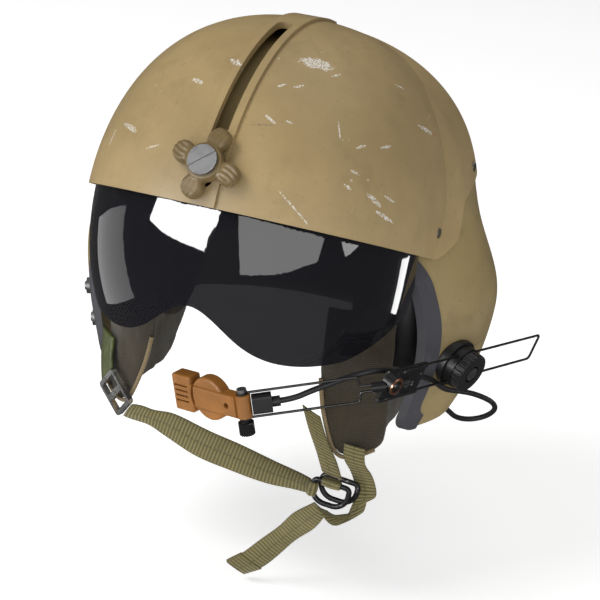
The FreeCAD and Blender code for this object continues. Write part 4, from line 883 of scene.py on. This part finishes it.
def lead_piece(name, points, node):
    """A run of the lead as a mesh."""
    curve = tube_piece(name, points, LEAD_RADIUS, "lead")
    graph = bpy.context.evaluated_depsgraph_get()
    mesh = bpy.data.meshes.new_from_object(curve.evaluated_get(graph))
    bpy.data.objects.remove(curve)
    obj = new_object(name, mesh, "lead")
    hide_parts(node)
    return obj


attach(lead_piece("lead_front", LEAD_FRONT, "mic_lead_front"), "boom_front")
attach(lead_piece("lead_plate", LEAD_PLATE, "mic_lead_plate"), "boom_rear")
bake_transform(lead_piece("lead_bridge_a", BRIDGE_A, "mic_lead_bridge"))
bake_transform(lead_piece("lead_bridge_b", BRIDGE_B, "mic_lead_bridge"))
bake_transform(lead_piece("lead_loop_b", LOOP_B, "mic_lead_loop"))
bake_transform(lead_piece("lead_loop_a", LOOP_A, "mic_lead_loop"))


# Floor, light and what the visor reflects

FLOOR_DROP = 0.004
FLOOR_HALF = 9
FLOOR_GLOW = 0.50
low = CAD_BOX[0][2] - FLOOR_DROP
floor = linked("floor", flat_mesh("floor", [
    (x * FLOOR_HALF, y * FLOOR_HALF, low) for x, y in ((-1, -1), (1, -1), (1, 1), (-1, 1))]))
white = Build("floor_white")
white.done(white.mix(white.noise(2), (0.90, 0.90, 0.90), (0.93, 0.93, 0.93)), 0.9)
white.shader.inputs["Emission Color"].default_value = (1, 1, 1, 1)
white.shader.inputs["Emission Strength"].default_value = FLOOR_GLOW
floor.data.materials.append(white.mat)
floor.visible_glossy = False


def area(name, at, aim, size, energy):
    light = bpy.data.lights.new(name, "AREA")
    light.shape = "RECTANGLE"
    light.size, light.size_y = size
    light.energy = energy
    obj = linked(name, light)
    obj.location = at
    obj.rotation_euler = (V(aim) - V(at)).to_track_quat("-Z", "Y").to_euler()
    obj.visible_glossy = False
    return obj


area("key", (-1.3, -1.5, 1.9), (0, 0, 0.02), (1.2, 1.2), 38)
area("fill", (1.9, -1.3, 0.9), (0, 0, 0), (1.5, 1.5), 4)
area("top", (0.2, 0.5, 2.3), (0, 0, 0), (1.8, 1.8), 7).visible_glossy = True
area("low", (0.1, -1.8, -0.15), (0, -0.02, -0.05), (1.6, 0.5), 3)


PANEL_DISTANCE = 1.6


def reflected_panel(name, pixels, strength):
    """A soft box that the lens mirrors at these places of the photograph."""
    corners = []
    for u, v in pixels:
        way = pixel_ray(u, v)
        at, normal, _, _ = LENS_TREE.ray_cast(EYE, way)
        if at is None:
            return
        if normal.dot(way) > 0:
            normal = -normal
        corners.append(at + (way - normal * (2 * way.dot(normal))) * PANEL_DISTANCE)
    obj = linked(name, flat_mesh(name, corners))
    m = bpy.data.materials.new(name)
    m.use_nodes = True
    m.node_tree.nodes.clear()
    shine = m.node_tree.nodes.new("ShaderNodeEmission")
    shine.inputs["Strength"].default_value = strength
    out = m.node_tree.nodes.new("ShaderNodeOutputMaterial")
    m.node_tree.links.new(shine.outputs[0], out.inputs[0])
    obj.data.materials.append(m)
    obj.visible_camera = False
    obj.visible_diffuse = False
    obj.visible_shadow = False


reflected_panel("box_left", [(158, 199), (216, 211), (206, 251), (150, 222)], 16)
reflected_panel("box_middle", [(240, 217), (322, 236), (319, 260), (241, 273)], 2.5)
reflected_panel("box_edge", [(99, 218), (126, 204), (133, 296), (106, 302)], 1.0)
reflected_panel("box_right", [(340, 240), (360, 246), (345, 255)], 4)
reflected_panel("strip_right", [(402, 258), (409, 257), (397, 314), (392, 312)], 6)

WORLD_SEEN = 1.0
WORLD_LIGHT = 0.36
WORLD_GLOSS = 0.05
world = bpy.data.worlds.new("world")
bpy.context.scene.world = world
world.use_nodes = True
tree = world.node_tree
tree.nodes.clear()
path = tree.nodes.new("ShaderNodeLightPath")


def glow(strength):
    n = tree.nodes.new("ShaderNodeBackground")
    n.inputs["Color"].default_value = (1, 1, 1, 1)
    n.inputs["Strength"].default_value = strength
    return n.outputs[0]


def choose(factor, a, b):
    n = tree.nodes.new("ShaderNodeMixShader")
    for slot, socket in enumerate((factor, a, b)):
        tree.links.new(socket, n.inputs[slot])
    return n.outputs[0]


seen = tree.nodes.new("ShaderNodeMath")
seen.operation = "MAXIMUM"
tree.links.new(path.outputs["Is Camera Ray"], seen.inputs[0])
tree.links.new(path.outputs["Is Transmission Ray"], seen.inputs[1])
surround = choose(path.outputs["Is Glossy Ray"], glow(WORLD_LIGHT), glow(WORLD_GLOSS))
out = tree.nodes.new("ShaderNodeOutputWorld")
tree.links.new(choose(seen.outputs[0], surround, glow(WORLD_SEEN)), out.inputs[0])
